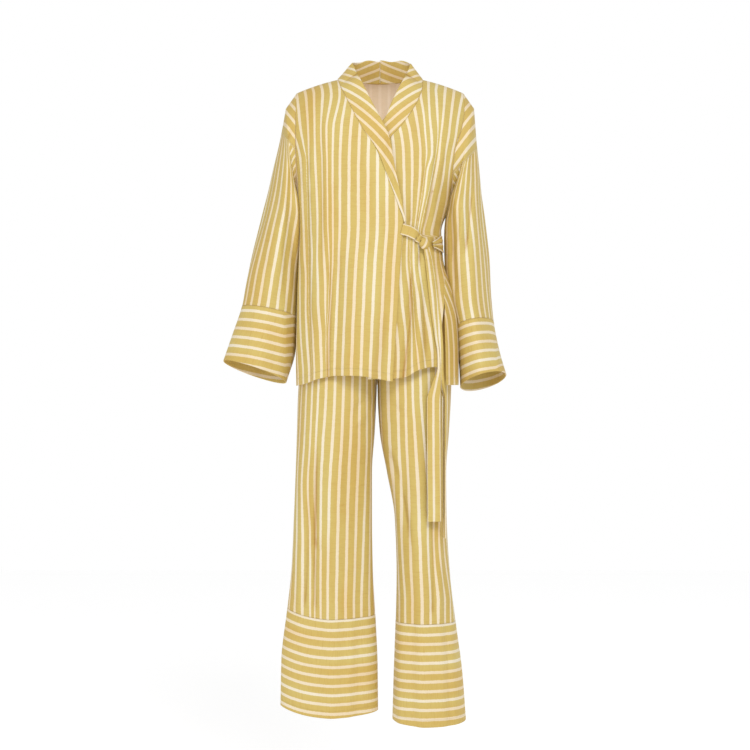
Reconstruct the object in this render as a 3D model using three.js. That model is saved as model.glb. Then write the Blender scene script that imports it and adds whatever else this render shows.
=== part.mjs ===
// A kimono-style wrap top with its own tie, and wide trousers of the same striped cloth,
// in the hollow form they have when worn.
//
// Millimetres, +Z up. The front faces -Y and the wearer's right is -X. The origin lies between the
// shoulders at the base of the neck, where the wearer carries the top.
//
// Every panel is a wall built on one smooth surface: a torso, a sleeve or a leg. Each surface comes from
// a short table of sections, and a short table of folds moves it in and out.
import * as THREE from 'three';

// ---------------------------------------------------------------- driving dimensions

const CLOTH = 1.2;            // wall of one layer of cloth
const DOUBLED = 2.0;          // wall of cloth turned over on itself: collar, cuffs, hem bands and ties
const ELASTIC = 3.0;          // wall of the gathered waistband casing
const SEAM_GAP = 0.3;         // space between two pieces that are sewn together
const UNDER = 5.0;            // how far the left front lies inside the right one where they overlap
const UNDER_REACH = 34;       // width of the soft step into the overlap
const SHOULDER_REACH = 183;   // sideways reach of the shoulder seam
const NECK_HALF = 93;         // half the width of the neck hole on the shoulders
const NECK_SCOOP = 1.9;       // depth of the back neck hole, in levels of the torso table
const TOP_LEVEL = 12;         // level of the shoulder seam
const UNDERARM = 6;           // level of the underarm
const SLIT_TOP = -480;        // height where the left side slit begins
const SLIT_OPEN = 8.4;        // how far the slit stands open at the hem, in degrees
const HEM_FADE = 190;         // height over which the uneven hem evens out
const TIE_HEIGHT = -320;      // where the collar ends, on the edges of the fronts
const CUFF_RING = 7;          // section of the sleeve where the cuff is sewn on
const SLEEVE_END = 9;         // section at the cuff's edge
const BAND_LEVEL = 2;         // level of the leg where the hem band is sewn on
const WAIST_LEVEL = 12;       // level of the trousers' waist
const WAISTBAND_HEIGHT = 35;
const TORSO_SQUARE = 0.78;    // 1 is an oval ring; less is squarer
const LEG_SQUARE = 0.9;       // the same for the legs
const KNOT_SQUARE = 0.8;      // the same for the knot
const KNOT_SHOULDER = 0.6;    // 1 is an oval knot from top to bottom; less is fuller at its ends

// How finely the walls are divided.
const FRONT_RIGHT_COLUMNS = 18;
const FRONT_LEFT_COLUMNS = 16;
const BACK_SIDE_COLUMNS = 6;  // from each side of the back to the neck hole
const NECK_COLUMNS = 5;       // on each side of the middle of the neck
const LEG_COLUMNS = 10;       // on the front and on the back of a leg
const WAISTBAND_COLUMNS = 24;
const BAND_ROWS = 2;
const TAIL_ROWS = 12;
const TAIL_CROSSING = 0.1;    // share of a free end in which one slips from behind the other
const KNOT_COLUMNS = 12;
const KNOT_ROWS = 8;

const STEP = 1e-3;            // how far apart the places are that a direction is worked out from
const BELOW_TOP = 0.1;        // levels under the shoulder seam, where the torso still has a direction
const PASSES = 30;            // halvings when a place is searched for
const EDGE_TURN = 1e-4;       // keeps a leg panel's edge on its own half, in radians

// Rings round the torso, from the hem (level 0) to the shoulder seams (level 12). height is that of the
// middle; the sides hang lower by drop; lift raises the middle of the back. right and left are the sides,
// front and back the depths. armholeRight and armholeLeft are where the ring is cut for the sleeve.
// leftSeam is the turn of the left side seam, in degrees from the middle of the front: the tie pulls it
// forward below the waist.
const TORSO = [
  { level: 0, height: -667, drop: 0, lift: 0, right: -183, left: 172, front: -128, back: 132,
    armholeRight: -183, armholeLeft: 172, leftSeam: 46 },
  { level: 1, height: -600, drop: 0, lift: 0, right: -184, left: 172, front: -127, back: 131,
    armholeRight: -184, armholeLeft: 172, leftSeam: 46.6 },
  { level: 2, height: -530, drop: 0, lift: 0, right: -182.5, left: 170, front: -125, back: 128,
    armholeRight: -182.5, armholeLeft: 170, leftSeam: 48 },
  { level: 3, height: -460, drop: 0, lift: 0, right: -181, left: 155, front: -122, back: 120,
    armholeRight: -181, armholeLeft: 155, leftSeam: 58 },
  { level: 4, height: -390, drop: 0, lift: 0, right: -178.5, left: 136, front: -117, back: 110,
    armholeRight: -178.5, armholeLeft: 136, leftSeam: 80 },
  { level: 5, height: -330, drop: 0, lift: 0, right: -176, left: 132, front: -116, back: 106,
    armholeRight: -176, armholeLeft: 132, leftSeam: 90 },
  { level: 6, height: -250, drop: 0, lift: 0, right: -180, left: 151, front: -120, back: 110,
    armholeRight: -180, armholeLeft: 151, leftSeam: 90 },
  { level: 7, height: -160, drop: 10, lift: 8, right: -196, left: 182, front: -116, back: 113,
    armholeRight: -182, armholeLeft: 160, leftSeam: 90 },
  { level: 8, height: -90, drop: 20, lift: 16, right: -206, left: 200, front: -102, back: 104,
    armholeRight: -183, armholeLeft: 177, leftSeam: 90 },
  { level: 9, height: -45, drop: 27, lift: 22, right: -208, left: 206, front: -82, back: 85,
    armholeRight: -183, armholeLeft: 183, leftSeam: 90 },
  { level: 10, height: -12, drop: 34, lift: 17, right: -206, left: 206, front: -56, back: 60,
    armholeRight: -183, armholeLeft: 183, leftSeam: 90 },
  { level: 11, height: 7, drop: 38, lift: 6, right: -198, left: 198, front: -28, back: 31,
    armholeRight: -183, armholeLeft: 183, leftSeam: 90 },
  { level: 12, height: 14, drop: 40, lift: 0, right: -183, left: 183, front: 0, back: 0,
    armholeRight: -183, armholeLeft: 183, leftSeam: 90 },
];

// The inner edge of each front, from the shoulder down: the collar's seam to the tie, then the open edge.
const EDGE_RIGHT = [
  { height: 4, x: -93 }, { height: -18, x: -86 }, { height: -53, x: -70 }, { height: -84, x: -55 },
  { height: -121, x: -35 }, { height: -156, x: -11 }, { height: -227, x: 18 }, { height: -286, x: 40 },
  { height: -317, x: 50 }, { height: -345, x: 48 }, { height: -667, x: 27 },
];
const EDGE_LEFT = [
  { height: 4, x: 93 }, { height: -18, x: 92 }, { height: -51, x: 82 }, { height: -84, x: 64 },
  { height: -112, x: 44 }, { height: -134, x: 24 }, { height: -227, x: -18 }, { height: -286, x: -40 },
  { height: -317, x: -50 }, { height: -345, x: -48 }, { height: -667, x: -27 },
];

// How much higher than the back each front's hem hangs, across its width.
const HEM_RIGHT = [
  { x: -200, rise: -3 }, { x: -183, rise: -2 }, { x: -95, rise: 20 }, { x: -60, rise: 20 },
  { x: 30, rise: 7 },
];
const HEM_LEFT = [
  { x: -60, rise: 12 }, { x: 28, rise: 14 }, { x: 55, rise: 18 }, { x: 84, rise: 33 }, { x: 119, rise: 39 },
  { x: 134, rise: 33 },
];

// The collar's free edge down each front, a row for each section: seam is the height on the front's
// edge that the section starts from, x and z are where its free edge lies, and stand is how far that
// stands in front of the chest, or of the shoulder line above it.
const COLLAR_RIGHT = [
  { seam: 4, x: -60, z: 42, stand: -4 }, { seam: -18, x: -48, z: 8, stand: 30 },
  { seam: -53, x: -32, z: -26, stand: 14 }, { seam: -84, x: -17, z: -58, stand: 6 },
  { seam: -121, x: 2, z: -95, stand: 3 }, { seam: -156, x: 18, z: -130, stand: 2 },
  { seam: -227, x: 33, z: -207, stand: 1.5 }, { seam: -286, x: 47, z: -275, stand: 1 },
  { seam: -320, x: 55, z: -316, stand: 0.5 },
];
const COLLAR_LEFT = [
  { seam: 4, x: 67, z: 42, stand: -4 }, { seam: -18, x: 54, z: 3, stand: 26 },
  { seam: -51, x: 40, z: -24, stand: 12 }, { seam: -84, x: 25, z: -57, stand: 5 },
  { seam: -112, x: 10, z: -92, stand: 0.5 }, { seam: -134, x: -6, z: -112, stand: 0 },
  { seam: -227, x: -33, z: -207, stand: 0 }, { seam: -286, x: -47, z: -275, stand: 0 },
  { seam: -320, x: -55, z: -316, stand: 0 },
];
// Round the back of the neck the band stands up: at is 0 at the middle of the back and 1 at the
// shoulder, z is the height of the free edge, and stand is how far that lies in front of the shoulders.
const COLLAR_STAND = [
  { at: 0, z: 54, stand: -47 }, { at: 0.5, z: 51, stand: -36 }, { at: 1, z: 42, stand: -4 },
];

// The straps of the tie, as they lie on the chest: the turn and the height they pass, half their
// width, and how far out they lie. One comes from the wrap edge and one from the left side seam.
const TIE_STRAP = [
  { turn: 14.5, z: -333, half: 12, out: 2.6 }, { turn: 22, z: -337, half: 12, out: 3.4 },
  { turn: 29, z: -344, half: 11.5, out: 4.6 }, { turn: 35.5, z: -351, half: 9.5, out: 6.6 },
];
const TIE_SIDE = [
  { turn: 84, z: -357, half: 18, out: 4 }, { turn: 73, z: -357, half: 17, out: 4 },
  { turn: 61, z: -357, half: 12.5, out: 5 }, { turn: 48.5, z: -358, half: 7, out: 8.3 },
];
const KNOT = { x: 100.6, y: -101.7, z: -358, halfX: 10, halfY: 7, halfZ: 13, yaw: 38 };
// The free ends, from the knot down through the side slit: where they hang, half their width, and how
// far they are turned from facing the front.
const TAIL_FRONT = [
  { z: -371.3, x: 98.5, y: -98, half: 7, yaw: 36 }, { z: -420, x: 107.5, y: -97, half: 7.5, yaw: 34 },
  { z: -480, x: 119, y: -102.5, half: 7.5, yaw: 20 }, { z: -525, x: 133.5, y: -105, half: 7.5, yaw: -18 },
  { z: -565, x: 138, y: -101.8, half: 8, yaw: -50 }, { z: -600, x: 134.2, y: -98.8, half: 10, yaw: -50 },
  { z: -631, x: 130.6, y: -97.2, half: 11, yaw: -46 }, { z: -662, x: 125, y: -99.5, half: 13.5, yaw: -10 },
  { z: -700, x: 118, y: -97, half: 15, yaw: 12 }, { z: -961, x: 117, y: -87, half: 15, yaw: 12 },
];
const TAIL_BACK = [
  { z: -371.3, x: 97.1, y: -96, half: 4.5, yaw: 36 }, { z: -395, x: 109.4, y: -88.6, half: 4.6, yaw: 38 },
  { z: -420, x: 122.3, y: -85.5, half: 5.5, yaw: 48 },
  { z: -480, x: 135.4, y: -92, half: 6, yaw: 40 }, { z: -525, x: 144.6, y: -98, half: 6, yaw: -18 },
  { z: -565, x: 141, y: -99.2, half: 8, yaw: -50 }, { z: -600, x: 136.6, y: -95.6, half: 9, yaw: -50 },
  { z: -631, x: 132.6, y: -92.6, half: 10, yaw: -50 }, { z: -662, x: 132.5, y: -88, half: 9, yaw: -60 },
  { z: -700, x: 139, y: -85, half: 11, yaw: -80 }, { z: -997, x: 138.5, y: -74, half: 14, yaw: -80 },
];

// Sections of the sleeves below the armhole: the outer and the inner (underarm) end of each, half its
// depth across, and how much its front stands higher than its back.
const SLEEVE_RIGHT = [
  { ring: 1, outX: -206, outY: -2, outZ: -60, inX: -187, inY: -2, inZ: -248, depth: 66, tilt: 0 },
  { ring: 2, outX: -219, outY: -2, outZ: -128, inX: -188, inY: 0, inZ: -262, depth: 71, tilt: 0 },
  { ring: 3, outX: -234, outY: -2, outZ: -195, inX: -184, inY: 4, inZ: -292, depth: 74, tilt: 2 },
  { ring: 4, outX: -252, outY: -4, outZ: -280, inX: -181, inY: 6, inZ: -338, depth: 70, tilt: 4 },
  { ring: 5, outX: -275, outY: -6, outZ: -370, inX: -182.5, inY: 6, inZ: -405, depth: 63, tilt: 6 },
  { ring: 6, outX: -292, outY: -8, outZ: -440, inX: -184.5, inY: 6, inZ: -465, depth: 57, tilt: 8 },
  { ring: 7, outX: -302, outY: -10, outZ: -492, inX: -186, inY: 5, inZ: -517, depth: 55, tilt: 10 },
  { ring: 8, outX: -322, outY: -12, outZ: -552, inX: -189, inY: 2, inZ: -586, depth: 57, tilt: 14 },
  { ring: 9, outX: -343, outY: -14, outZ: -612, inX: -207, inY: -4, inZ: -658, depth: 61, tilt: 20 },
];
const SLEEVE_LEFT = [
  { ring: 1, outX: 206, outY: -2, outZ: -60, inX: 164, inY: -2, inZ: -247, depth: 66, tilt: 0 },
  { ring: 2, outX: 212, outY: -2, outZ: -134, inX: 168, inY: 0, inZ: -259, depth: 72, tilt: 0 },
  { ring: 3, outX: 218, outY: -2, outZ: -196, inX: 158, inY: 2, inZ: -287, depth: 76, tilt: 3 },
  { ring: 4, outX: 224, outY: -6, outZ: -284, inX: 150, inY: 0, inZ: -338, depth: 77, tilt: 6 },
  { ring: 5, outX: 234, outY: -10, outZ: -380, inX: 155, inY: -2, inZ: -418, depth: 75, tilt: 10 },
  { ring: 6, outX: 240, outY: -12, outZ: -460, inX: 164, inY: -2, inZ: -482, depth: 73, tilt: 13 },
  { ring: 7, outX: 246, outY: -14, outZ: -519, inX: 174, inY: -2, inZ: -537, depth: 71, tilt: 16 },
  { ring: 8, outX: 259, outY: -16, outZ: -580, inX: 176, inY: -6, inZ: -603, depth: 73, tilt: 22 },
  { ring: 9, outX: 276, outY: -18, outZ: -640, inX: 177, inY: -12, inZ: -667, depth: 76, tilt: 30 },
];

// Sections of each leg from the hem (level 0) to the waist (level 12). outer and inner are the sides,
// riseOut and riseIn how much higher they hang than the middle. hip is 0 where the section is a
// closed leg and 1 where it is half of the hips; centre is then the middle seam.
const LEG_RIGHT = [
  { level: 0, height: -1391, outer: -218, inner: -5, front: -50, back: 52, riseOut: 21, riseIn: 10, hip: 0 },
  { level: 1, height: -1290, outer: -216, inner: -6, front: -51, back: 53, riseOut: 21, riseIn: 8, hip: 0 },
  { level: 2, height: -1176, outer: -203, inner: -11, front: -52, back: 55, riseOut: 19, riseIn: 5, hip: 0 },
  { level: 3, height: -1080, outer: -194, inner: -16, front: -54, back: 57, riseOut: 10, riseIn: 2, hip: 0 },
  { level: 4, height: -960, outer: -189, inner: -18, front: -60, back: 62, riseOut: 0, riseIn: 0, hip: 0 },
  { level: 5, height: -860, outer: -185, inner: -18, front: -70, back: 71, riseOut: 0, riseIn: 0, hip: 0 },
  { level: 6, height: -770, outer: -182, inner: -12, front: -82, back: 84, riseOut: 0, riseIn: 0, hip: 0 },
  { level: 7, height: -700, outer: -180, inner: -8.5, front: -92, back: 97, riseOut: 0, riseIn: 0, hip: 0 },
  { level: 8, height: -664, outer: -178, inner: -7.2, front: -98, back: 107, riseOut: 0, riseIn: 0, hip: 0.02 },
  { level: 9, height: -625, outer: -174, inner: -6.6, front: -103, back: 116, riseOut: 0, riseIn: 0, hip: 0.45 },
  { level: 10, height: -560, outer: -166, inner: -5, front: -105, back: 119, riseOut: 0, riseIn: 0, hip: 1 },
  { level: 11, height: -470, outer: -148, inner: -2, front: -100, back: 109, riseOut: 0, riseIn: 0, hip: 1 },
  { level: 12, height: -400, outer: -128, inner: 0, front: -94, back: 97, riseOut: 0, riseIn: 0, hip: 1 },
];
const LEG_LEFT = [
  { level: 0, height: -1406, outer: 188, inner: 28, front: -76, back: 80, riseOut: 5, riseIn: 6, hip: 0 },
  { level: 1, height: -1300, outer: 180, inner: 31, front: -75, back: 79, riseOut: 3, riseIn: 3, hip: 0 },
  { level: 2, height: -1184, outer: 165, inner: 35, front: -72, back: 77, riseOut: 0, riseIn: 0, hip: 0 },
  { level: 3, height: -1080, outer: 153, inner: 37, front: -71, back: 76, riseOut: 0, riseIn: 0, hip: 0 },
  { level: 4, height: -960, outer: 146, inner: 33, front: -71, back: 76, riseOut: 0, riseIn: 0, hip: 0 },
  { level: 5, height: -860, outer: 145, inner: 16, front: -78, back: 81, riseOut: 0, riseIn: 0, hip: 0 },
  { level: 6, height: -770, outer: 151, inner: 0, front: -86, back: 88, riseOut: 0, riseIn: 0, hip: 0 },
  { level: 7, height: -700, outer: 155, inner: -4.5, front: -93, back: 98, riseOut: 0, riseIn: 0, hip: 0 },
  { level: 8, height: -664, outer: 156, inner: -5.4, front: -98, back: 107, riseOut: 0, riseIn: 0, hip: 0.02 },
  { level: 9, height: -625, outer: 156, inner: -6, front: -103, back: 116, riseOut: 0, riseIn: 0, hip: 0.45 },
  { level: 10, height: -560, outer: 152, inner: -5, front: -105, back: 119, riseOut: 0, riseIn: 0, hip: 1 },
  { level: 11, height: -470, outer: 138, inner: -2, front: -100, back: 109, riseOut: 0, riseIn: 0, hip: 1 },
  { level: 12, height: -400, outer: 130.5, inner: 0, front: -94, back: 97, riseOut: 0, riseIn: 0, hip: 1 },
];

// The largest folds. Each lies on the front or back of its form and runs from (fromX, fromZ) down to
// (toX, toZ), depth out (or in, when negative) and about twice width across. open folds stay full at the
// bottom.
const FOLDS = [
  { on: 'torso front', fromX: -112, fromZ: -230, toX: -138, toZ: -667, depth: 6, width: 20, open: 1 },
  { on: 'torso front', fromX: -88, fromZ: -300, toX: -102, toZ: -667, depth: -6, width: 17, open: 1 },
  { on: 'torso front', fromX: -50, fromZ: -330, toX: -66, toZ: -667, depth: 5, width: 20, open: 1 },
  { on: 'torso front', fromX: 30, fromZ: -360, toX: -8, toZ: -667, depth: -5, width: 18, open: 1 },
  { on: 'torso front', fromX: 72, fromZ: -365, toX: 52, toZ: -667, depth: -6, width: 14, open: 1 },
  { on: 'torso front', fromX: 84, fromZ: -370, toX: 76, toZ: -667, depth: 6, width: 14, open: 1 },
  { on: 'torso front', fromX: 98, fromZ: -375, toX: 98, toZ: -667, depth: -6, width: 12, open: 1 },
  { on: 'torso front', fromX: 150, fromZ: -180, toX: 100, toZ: -345, depth: -6, width: 16, open: 0 },
  { on: 'torso front', fromX: 110, fromZ: -160, toX: 84, toZ: -340, depth: 5, width: 16, open: 0 },
  { on: 'torso back', fromX: -95, fromZ: -150, toX: -110, toZ: -667, depth: 6, width: 22, open: 1 },
  { on: 'torso back', fromX: -40, fromZ: -230, toX: -52, toZ: -667, depth: -6, width: 20, open: 1 },
  { on: 'torso back', fromX: 8, fromZ: -270, toX: 4, toZ: -667, depth: 5, width: 20, open: 1 },
  { on: 'torso back', fromX: 62, fromZ: -200, toX: 70, toZ: -667, depth: -7, width: 20, open: 1 },
  { on: 'torso back', fromX: 104, fromZ: -300, toX: 118, toZ: -667, depth: 6, width: 20, open: 1 },
  { on: 'legRight front', fromX: -130, fromZ: -680, toX: -150, toZ: -1185, depth: -8, width: 15, open: 0 },
  { on: 'legRight front', fromX: -100, fromZ: -700, toX: -104, toZ: -1391, depth: 7, width: 20, open: 1 },
  { on: 'legRight front', fromX: -46, fromZ: -760, toX: -50, toZ: -1391, depth: -5, width: 16, open: 1 },
  { on: 'legRight back', fromX: -120, fromZ: -640, toX: -140, toZ: -1391, depth: 6, width: 22, open: 1 },
  { on: 'legRight back', fromX: -70, fromZ: -700, toX: -76, toZ: -1391, depth: -7, width: 20, open: 1 },
  { on: 'legLeft front', fromX: 40, fromZ: -690, toX: 62, toZ: -1100, depth: -5, width: 15, open: 0 },
  { on: 'legLeft front', fromX: 84, fromZ: -700, toX: 92, toZ: -1406, depth: 6, width: 20, open: 1 },
  { on: 'legLeft back', fromX: 60, fromZ: -660, toX: 76, toZ: -1406, depth: -7, width: 20, open: 1 },
  { on: 'legLeft back', fromX: 110, fromZ: -700, toX: 126, toZ: -1406, depth: 6, width: 20, open: 1 },
  { on: 'sleeveRight front', fromX: -200, fromZ: -120, toX: -236, toZ: -330, depth: -6, width: 16, open: 0 },
  { on: 'sleeveRight front', fromX: -214, fromZ: -260, toX: -262, toZ: -640, depth: 5, width: 20, open: 1 },
  { on: 'sleeveLeft front', fromX: 196, fromZ: -140, toX: 176, toZ: -330, depth: -6, width: 14, open: 0 },
  { on: 'sleeveLeft front', fromX: 204, fromZ: -260, toX: 214, toZ: -640, depth: 5, width: 16, open: 1 },
];

// ---------------------------------------------------------------- reading the tables

const clamp = THREE.MathUtils.clamp;
const mix = THREE.MathUtils.lerp;
const smooth = (from, to, at) => {
  const t = clamp((at - from) / (to - from), 0, 1);
  return t * t * (3 - 2 * t);
};

// A smooth curve through one column of a table, which never swings past its rows.
function column(table, key, name) {
  const rows = [...table].sort((a, b) => a[key] - b[key]);
  const at = rows.map((row) => row[key]);
  const value = rows.map((row) => row[name]);
  const step = at.slice(1).map((end, i) => (value[i + 1] - value[i]) / (end - at[i]));
  const slope = value.map((_, i) => {
    if (i === 0) return step[0];
    if (i === value.length - 1) return step[i - 1];
    const sameWay = step[i - 1] * step[i] > 0;
    return sameWay ? (2 * step[i - 1] * step[i]) / (step[i - 1] + step[i]) : 0;
  });
  return (where) => {
    const x = clamp(where, at[0], at[at.length - 1]);
    let i = 0;
    while (i < at.length - 2 && x > at[i + 1]) i += 1;
    const width = at[i + 1] - at[i];
    const t = (x - at[i]) / width;
    const a = value[i] * (1 + 2 * t) + slope[i] * width * t;
    const b = value[i + 1] * (3 - 2 * t) - slope[i + 1] * width * (1 - t);
    return a * (1 - t) * (1 - t) + b * t * t;
  };
}

function columns(table, key) {
  const names = Object.keys(table[0]).filter((name) => name !== key);
  return Object.fromEntries(names.map((name) => [name, column(table, key, name)]));
}

// Adds up the folds of one face of a form at a place on it.
function foldAt(form, face, x, z) {
  let sum = 0;
  for (const fold of FOLDS) {
    if (fold.on !== `${form} ${face}`) continue;
    const t = (fold.fromZ - z) / (fold.fromZ - fold.toZ);
    if (t <= 0 || (t >= 1 && !fold.open)) continue;
    const fade = fold.open ? smooth(0, 0.35, t) : Math.sin(Math.PI * t);
    const away = (x - mix(fold.fromX, fold.toX, Math.min(t, 1))) / fold.width;
    sum += fold.depth * fade * Math.exp(-away * away);
  }
  return sum;
}

// ---------------------------------------------------------------- walls

const power = (value, exponent) => Math.sign(value) * Math.abs(value) ** exponent;
const vector = (x, y, z) => new THREE.Vector3(x, y, z);
const QUARTER = Math.PI / 2;

// The outward direction of a surface at a place on it, from four points close by.
function facing(surface, u, v) {
  const across = surface(u + STEP, v).sub(surface(u - STEP, v));
  const up = surface(u, v + STEP).sub(surface(u, v - STEP));
  return across.cross(up).normalize();
}

// A surface with the folds of its form added, moved along its own outward direction.
function folded(base, form) {
  return (u, v) => {
    const point = base(u, v);
    const away = facing(base, u, v);
    const face = away.y < 0 ? 'front' : 'back';
    const turned = smooth(0.15, 0.6, Math.abs(away.y));
    return point.addScaledVector(away, turned * foldAt(form, face, point.x, point.z));
  };
}

// Evenly spaced places, both ends included.
const evenly = (from, to, steps) => Array.from({ length: steps + 1 }, (_, i) => mix(from, to, i / steps));

// A closed wall about a surface, through the places us across it and vs along it. Its edges named in
// seams draw back by half a seam gap: start and end are where u begins and ends, low and high are for v.
// loop joins its sides into a tube. direction gives the wall's outward direction where it isn't the
// surface's own.
function wall({ surface, us, vs, thickness, seams = [], loop = false, direction }) {
  const trim = (u, v, du, dv) => {
    const edge = surface(u, v);
    const drawn = (share) => surface(u + du * share, v + dv * share).distanceTo(edge);
    let short = 0;
    let enough = STEP;
    while (drawn(enough) < SEAM_GAP / 2 && enough < 0.1) enough *= 2;
    for (let pass = 0; pass < PASSES; pass += 1) {
      const middle = (short + enough) / 2;
      if (drawn(middle) < SEAM_GAP / 2) short = middle;
      else enough = middle;
    }
    return enough;
  };
  const outer = [];
  const inner = [];
  const count = us.length - 1;
  const rows = vs.length - 1;
  const wide = loop ? count : count + 1;
  for (let j = 0; j <= rows; j += 1) {
    for (let i = 0; i < wide; i += 1) {
      let u = us[i];
      let v = vs[j];
      if (seams.includes('start') && i === 0) u += trim(u, v, 1, 0);
      if (seams.includes('end') && i === count) u -= trim(u, v, -1, 0);
      if (seams.includes('low') && j === 0) v += trim(u, v, 0, 1);
      if (seams.includes('high') && j === rows) v -= trim(u, v, 0, -1);
      const point = surface(u, v);
      const away = direction ? direction(u, v) : facing(surface, u, v);
      outer.push(point.clone().addScaledVector(away, thickness / 2));
      inner.push(point.addScaledVector(away, -thickness / 2));
    }
  }
  const size = outer.length;
  const at = (i, j) => j * wide + (i % wide);
  const faces = [];
  const quad = (a, b, c, d) => faces.push(a, b, c, a, c, d);
  for (let j = 0; j < rows; j += 1) {
    for (let i = 0; i < count; i += 1) {
      quad(at(i, j), at(i + 1, j), at(i + 1, j + 1), at(i, j + 1));
      quad(size + at(i, j), size + at(i, j + 1), size + at(i + 1, j + 1), size + at(i + 1, j));
    }
  }
  for (let i = 0; i < count; i += 1) {
    quad(at(i + 1, 0), at(i, 0), size + at(i, 0), size + at(i + 1, 0));
    quad(at(i, rows), at(i + 1, rows), size + at(i + 1, rows), size + at(i, rows));
  }
  if (!loop) {
    for (let j = 0; j < rows; j += 1) {
      quad(at(0, j), at(0, j + 1), size + at(0, j + 1), size + at(0, j));
      quad(at(count, j + 1), at(count, j), size + at(count, j), size + at(count, j + 1));
    }
  }
  const geometry = new THREE.BufferGeometry().setFromPoints([...outer, ...inner]);
  geometry.setIndex(faces);
  return geometry;
}

// ---------------------------------------------------------------- the torso

const torso = columns(TORSO, 'level');
const hemRight = column(HEM_RIGHT, 'x', 'rise');
const hemLeft = column(HEM_LEFT, 'x', 'rise');
const edgeRight = column(EDGE_RIGHT, 'height', 'x');
const edgeLeft = column(EDGE_LEFT, 'height', 'x');

// turn is the way round: 0 is the middle of the front, a quarter turn the wearer's left. At the shoulders
// front and back stay a seam's gap apart.
function torsoAt(turn, level, hem) {
  const side = Math.sin(turn) < 0 ? -torso.right(level) : torso.left(level);
  const depth = Math.cos(turn) > 0 ? torso.front(level) : torso.back(level);
  const x = side * power(Math.sin(turn), TORSO_SQUARE);
  const apart = (SEAM_GAP / 2) * smooth(TOP_LEVEL - 1, TOP_LEVEL, level);
  const y = depth * Math.abs(Math.cos(turn)) ** TORSO_SQUARE - Math.sign(Math.cos(turn)) * apart;
  const reach = (x / SHOULDER_REACH) ** 2;
  const lift = Math.cos(turn) < 0 ? torso.lift(level) * (1 - reach) : 0;
  const above = torso.height(level) - torso.height(0);
  const rise = hem ? hem(x) * (1 - smooth(0, HEM_FADE, above)) : 0;
  return vector(x, y, torso.height(level) + lift + rise - torso.drop(level) * reach);
}

// The turn at which a level of the torso reaches a sideways place.
function turnAt(x, level) {
  const side = x < 0 ? -torso.right(level) : torso.left(level);
  return Math.asin(power(clamp(x / side, -1, 1), 1 / TORSO_SQUARE));
}

// The turn at which a level meets an edge that is given by height.
function turnAtEdge(edge, level) {
  let x = 0;
  for (let pass = 0; pass < PASSES; pass += 1) {
    x = edge(torso.height(level) - torso.drop(level) * (x / SHOULDER_REACH) ** 2);
  }
  return turnAt(x, level);
}

// The level that passes a place on the front.
function levelAt(x, z, hem) {
  let low = 0;
  let high = TOP_LEVEL;
  for (let pass = 0; pass < PASSES; pass += 1) {
    const middle = (low + high) / 2;
    if (torsoAt(turnAt(x, middle), middle, hem).z < z) low = middle;
    else high = middle;
  }
  return (low + high) / 2;
}

// Half of the slit's opening at a level, as a turn.
const radians = THREE.MathUtils.degToRad;
function slitAt(level) {
  const share = (SLIT_TOP - torso.height(level)) / (SLIT_TOP - torso.height(0));
  return radians(SLIT_OPEN / 2) * clamp(share, 0, 1);
}
const rightSide = (level) => (level <= UNDERARM ? -QUARTER : turnAt(torso.armholeRight(level), level));
const leftSide = (level) => {
  return level <= UNDERARM ? radians(torso.leftSeam(level)) : turnAt(torso.armholeLeft(level), level);
};

// The levels that the walls of the top pass through: the sleeves and the collar meet them there.
const LOW_LEVELS = evenly(0, UNDERARM, 8);
const HIGH_LEVELS = [6.7, 7.4, 8.1, 8.8, 9.5, 10.2, 10.9, 11.5, TOP_LEVEL];
const LEVELS = [...LOW_LEVELS, ...HIGH_LEVELS];

// What covers the left front: the right collar's free edge down to the tie, and the right front's below.
const COVER = [
  ...COLLAR_RIGHT.map((row) => ({ height: row.z, x: row.x })),
  ...EDGE_RIGHT.filter((row) => row.height < COLLAR_RIGHT.at(-1).z),
];
const cover = column(COVER, 'height', 'x');
const underAt = (x, z) => UNDER * (1 - smooth(6, 6 + UNDER_REACH, x - cover(z)));

// The faces that the panels of the top lie in, by turn and level.
const rightFace = folded((turn, level) => torsoAt(turn, level, hemRight), 'torso');
const leftFace = folded((turn, level) => {
  const point = torsoAt(turn, level, hemLeft);
  point.y += underAt(point.x, point.z);
  return point;
}, 'torso');
const backFace = folded((turn, level) => torsoAt(turn, level), 'torso');

// The panels. u runs round from the wearer's right to left on the front, and on the back from left to
// right; the second place is the level, from the hem up to the shoulder seam.
const onTorso = (level) => clamp(level, 0, TOP_LEVEL);
const frontRight = (u, at) => {
  const level = onTorso(at);
  return rightFace(mix(rightSide(level), turnAtEdge(edgeRight, level), u), level);
};
const frontLeft = (u, at) => {
  const level = onTorso(at);
  return leftFace(mix(turnAtEdge(edgeLeft, level), leftSide(level) - slitAt(level), u), level);
};
const backLeft = (level) => (level > UNDERARM ? Math.PI - leftSide(level) : leftSide(level) + slitAt(level));
const neckScoop = (x) => NECK_SCOOP * Math.max(0, 1 - (x / NECK_HALF) ** 2);
const back = (u, at) => {
  const spot = onTorso(at);
  const turn = mix(backLeft(spot), Math.PI - rightSide(spot), u);
  const scoop = neckScoop(torsoAt(turn, TOP_LEVEL).x) * smooth(UNDERARM, TOP_LEVEL, spot);
  return backFace(turn, spot - scoop);
};

// At the shoulder seam the walls of front and back stand the same way.
const levelled = (surface) => (u, level) => {
  const away = facing(surface, u, level);
  return level > TOP_LEVEL - BELOW_TOP ? away.setY(0).normalize() : away;
};

// Where a piece starts that is sewn on at an angle: lifted off the panel's edge as far as it stands up, or
// drawn back from it as far as it turns down.
function startOff(point, away, towards) {
  const leaving = towards.clone().sub(point).normalize();
  const standing = leaving.dot(away);
  return standing > 0
    ? point.clone().addScaledVector(away, standing * (DOUBLED / 2 + SEAM_GAP + CLOTH / 2))
    : point.clone().addScaledVector(leaving, (-standing * CLOTH) / 2);
}

// ---------------------------------------------------------------- the sleeves

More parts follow.
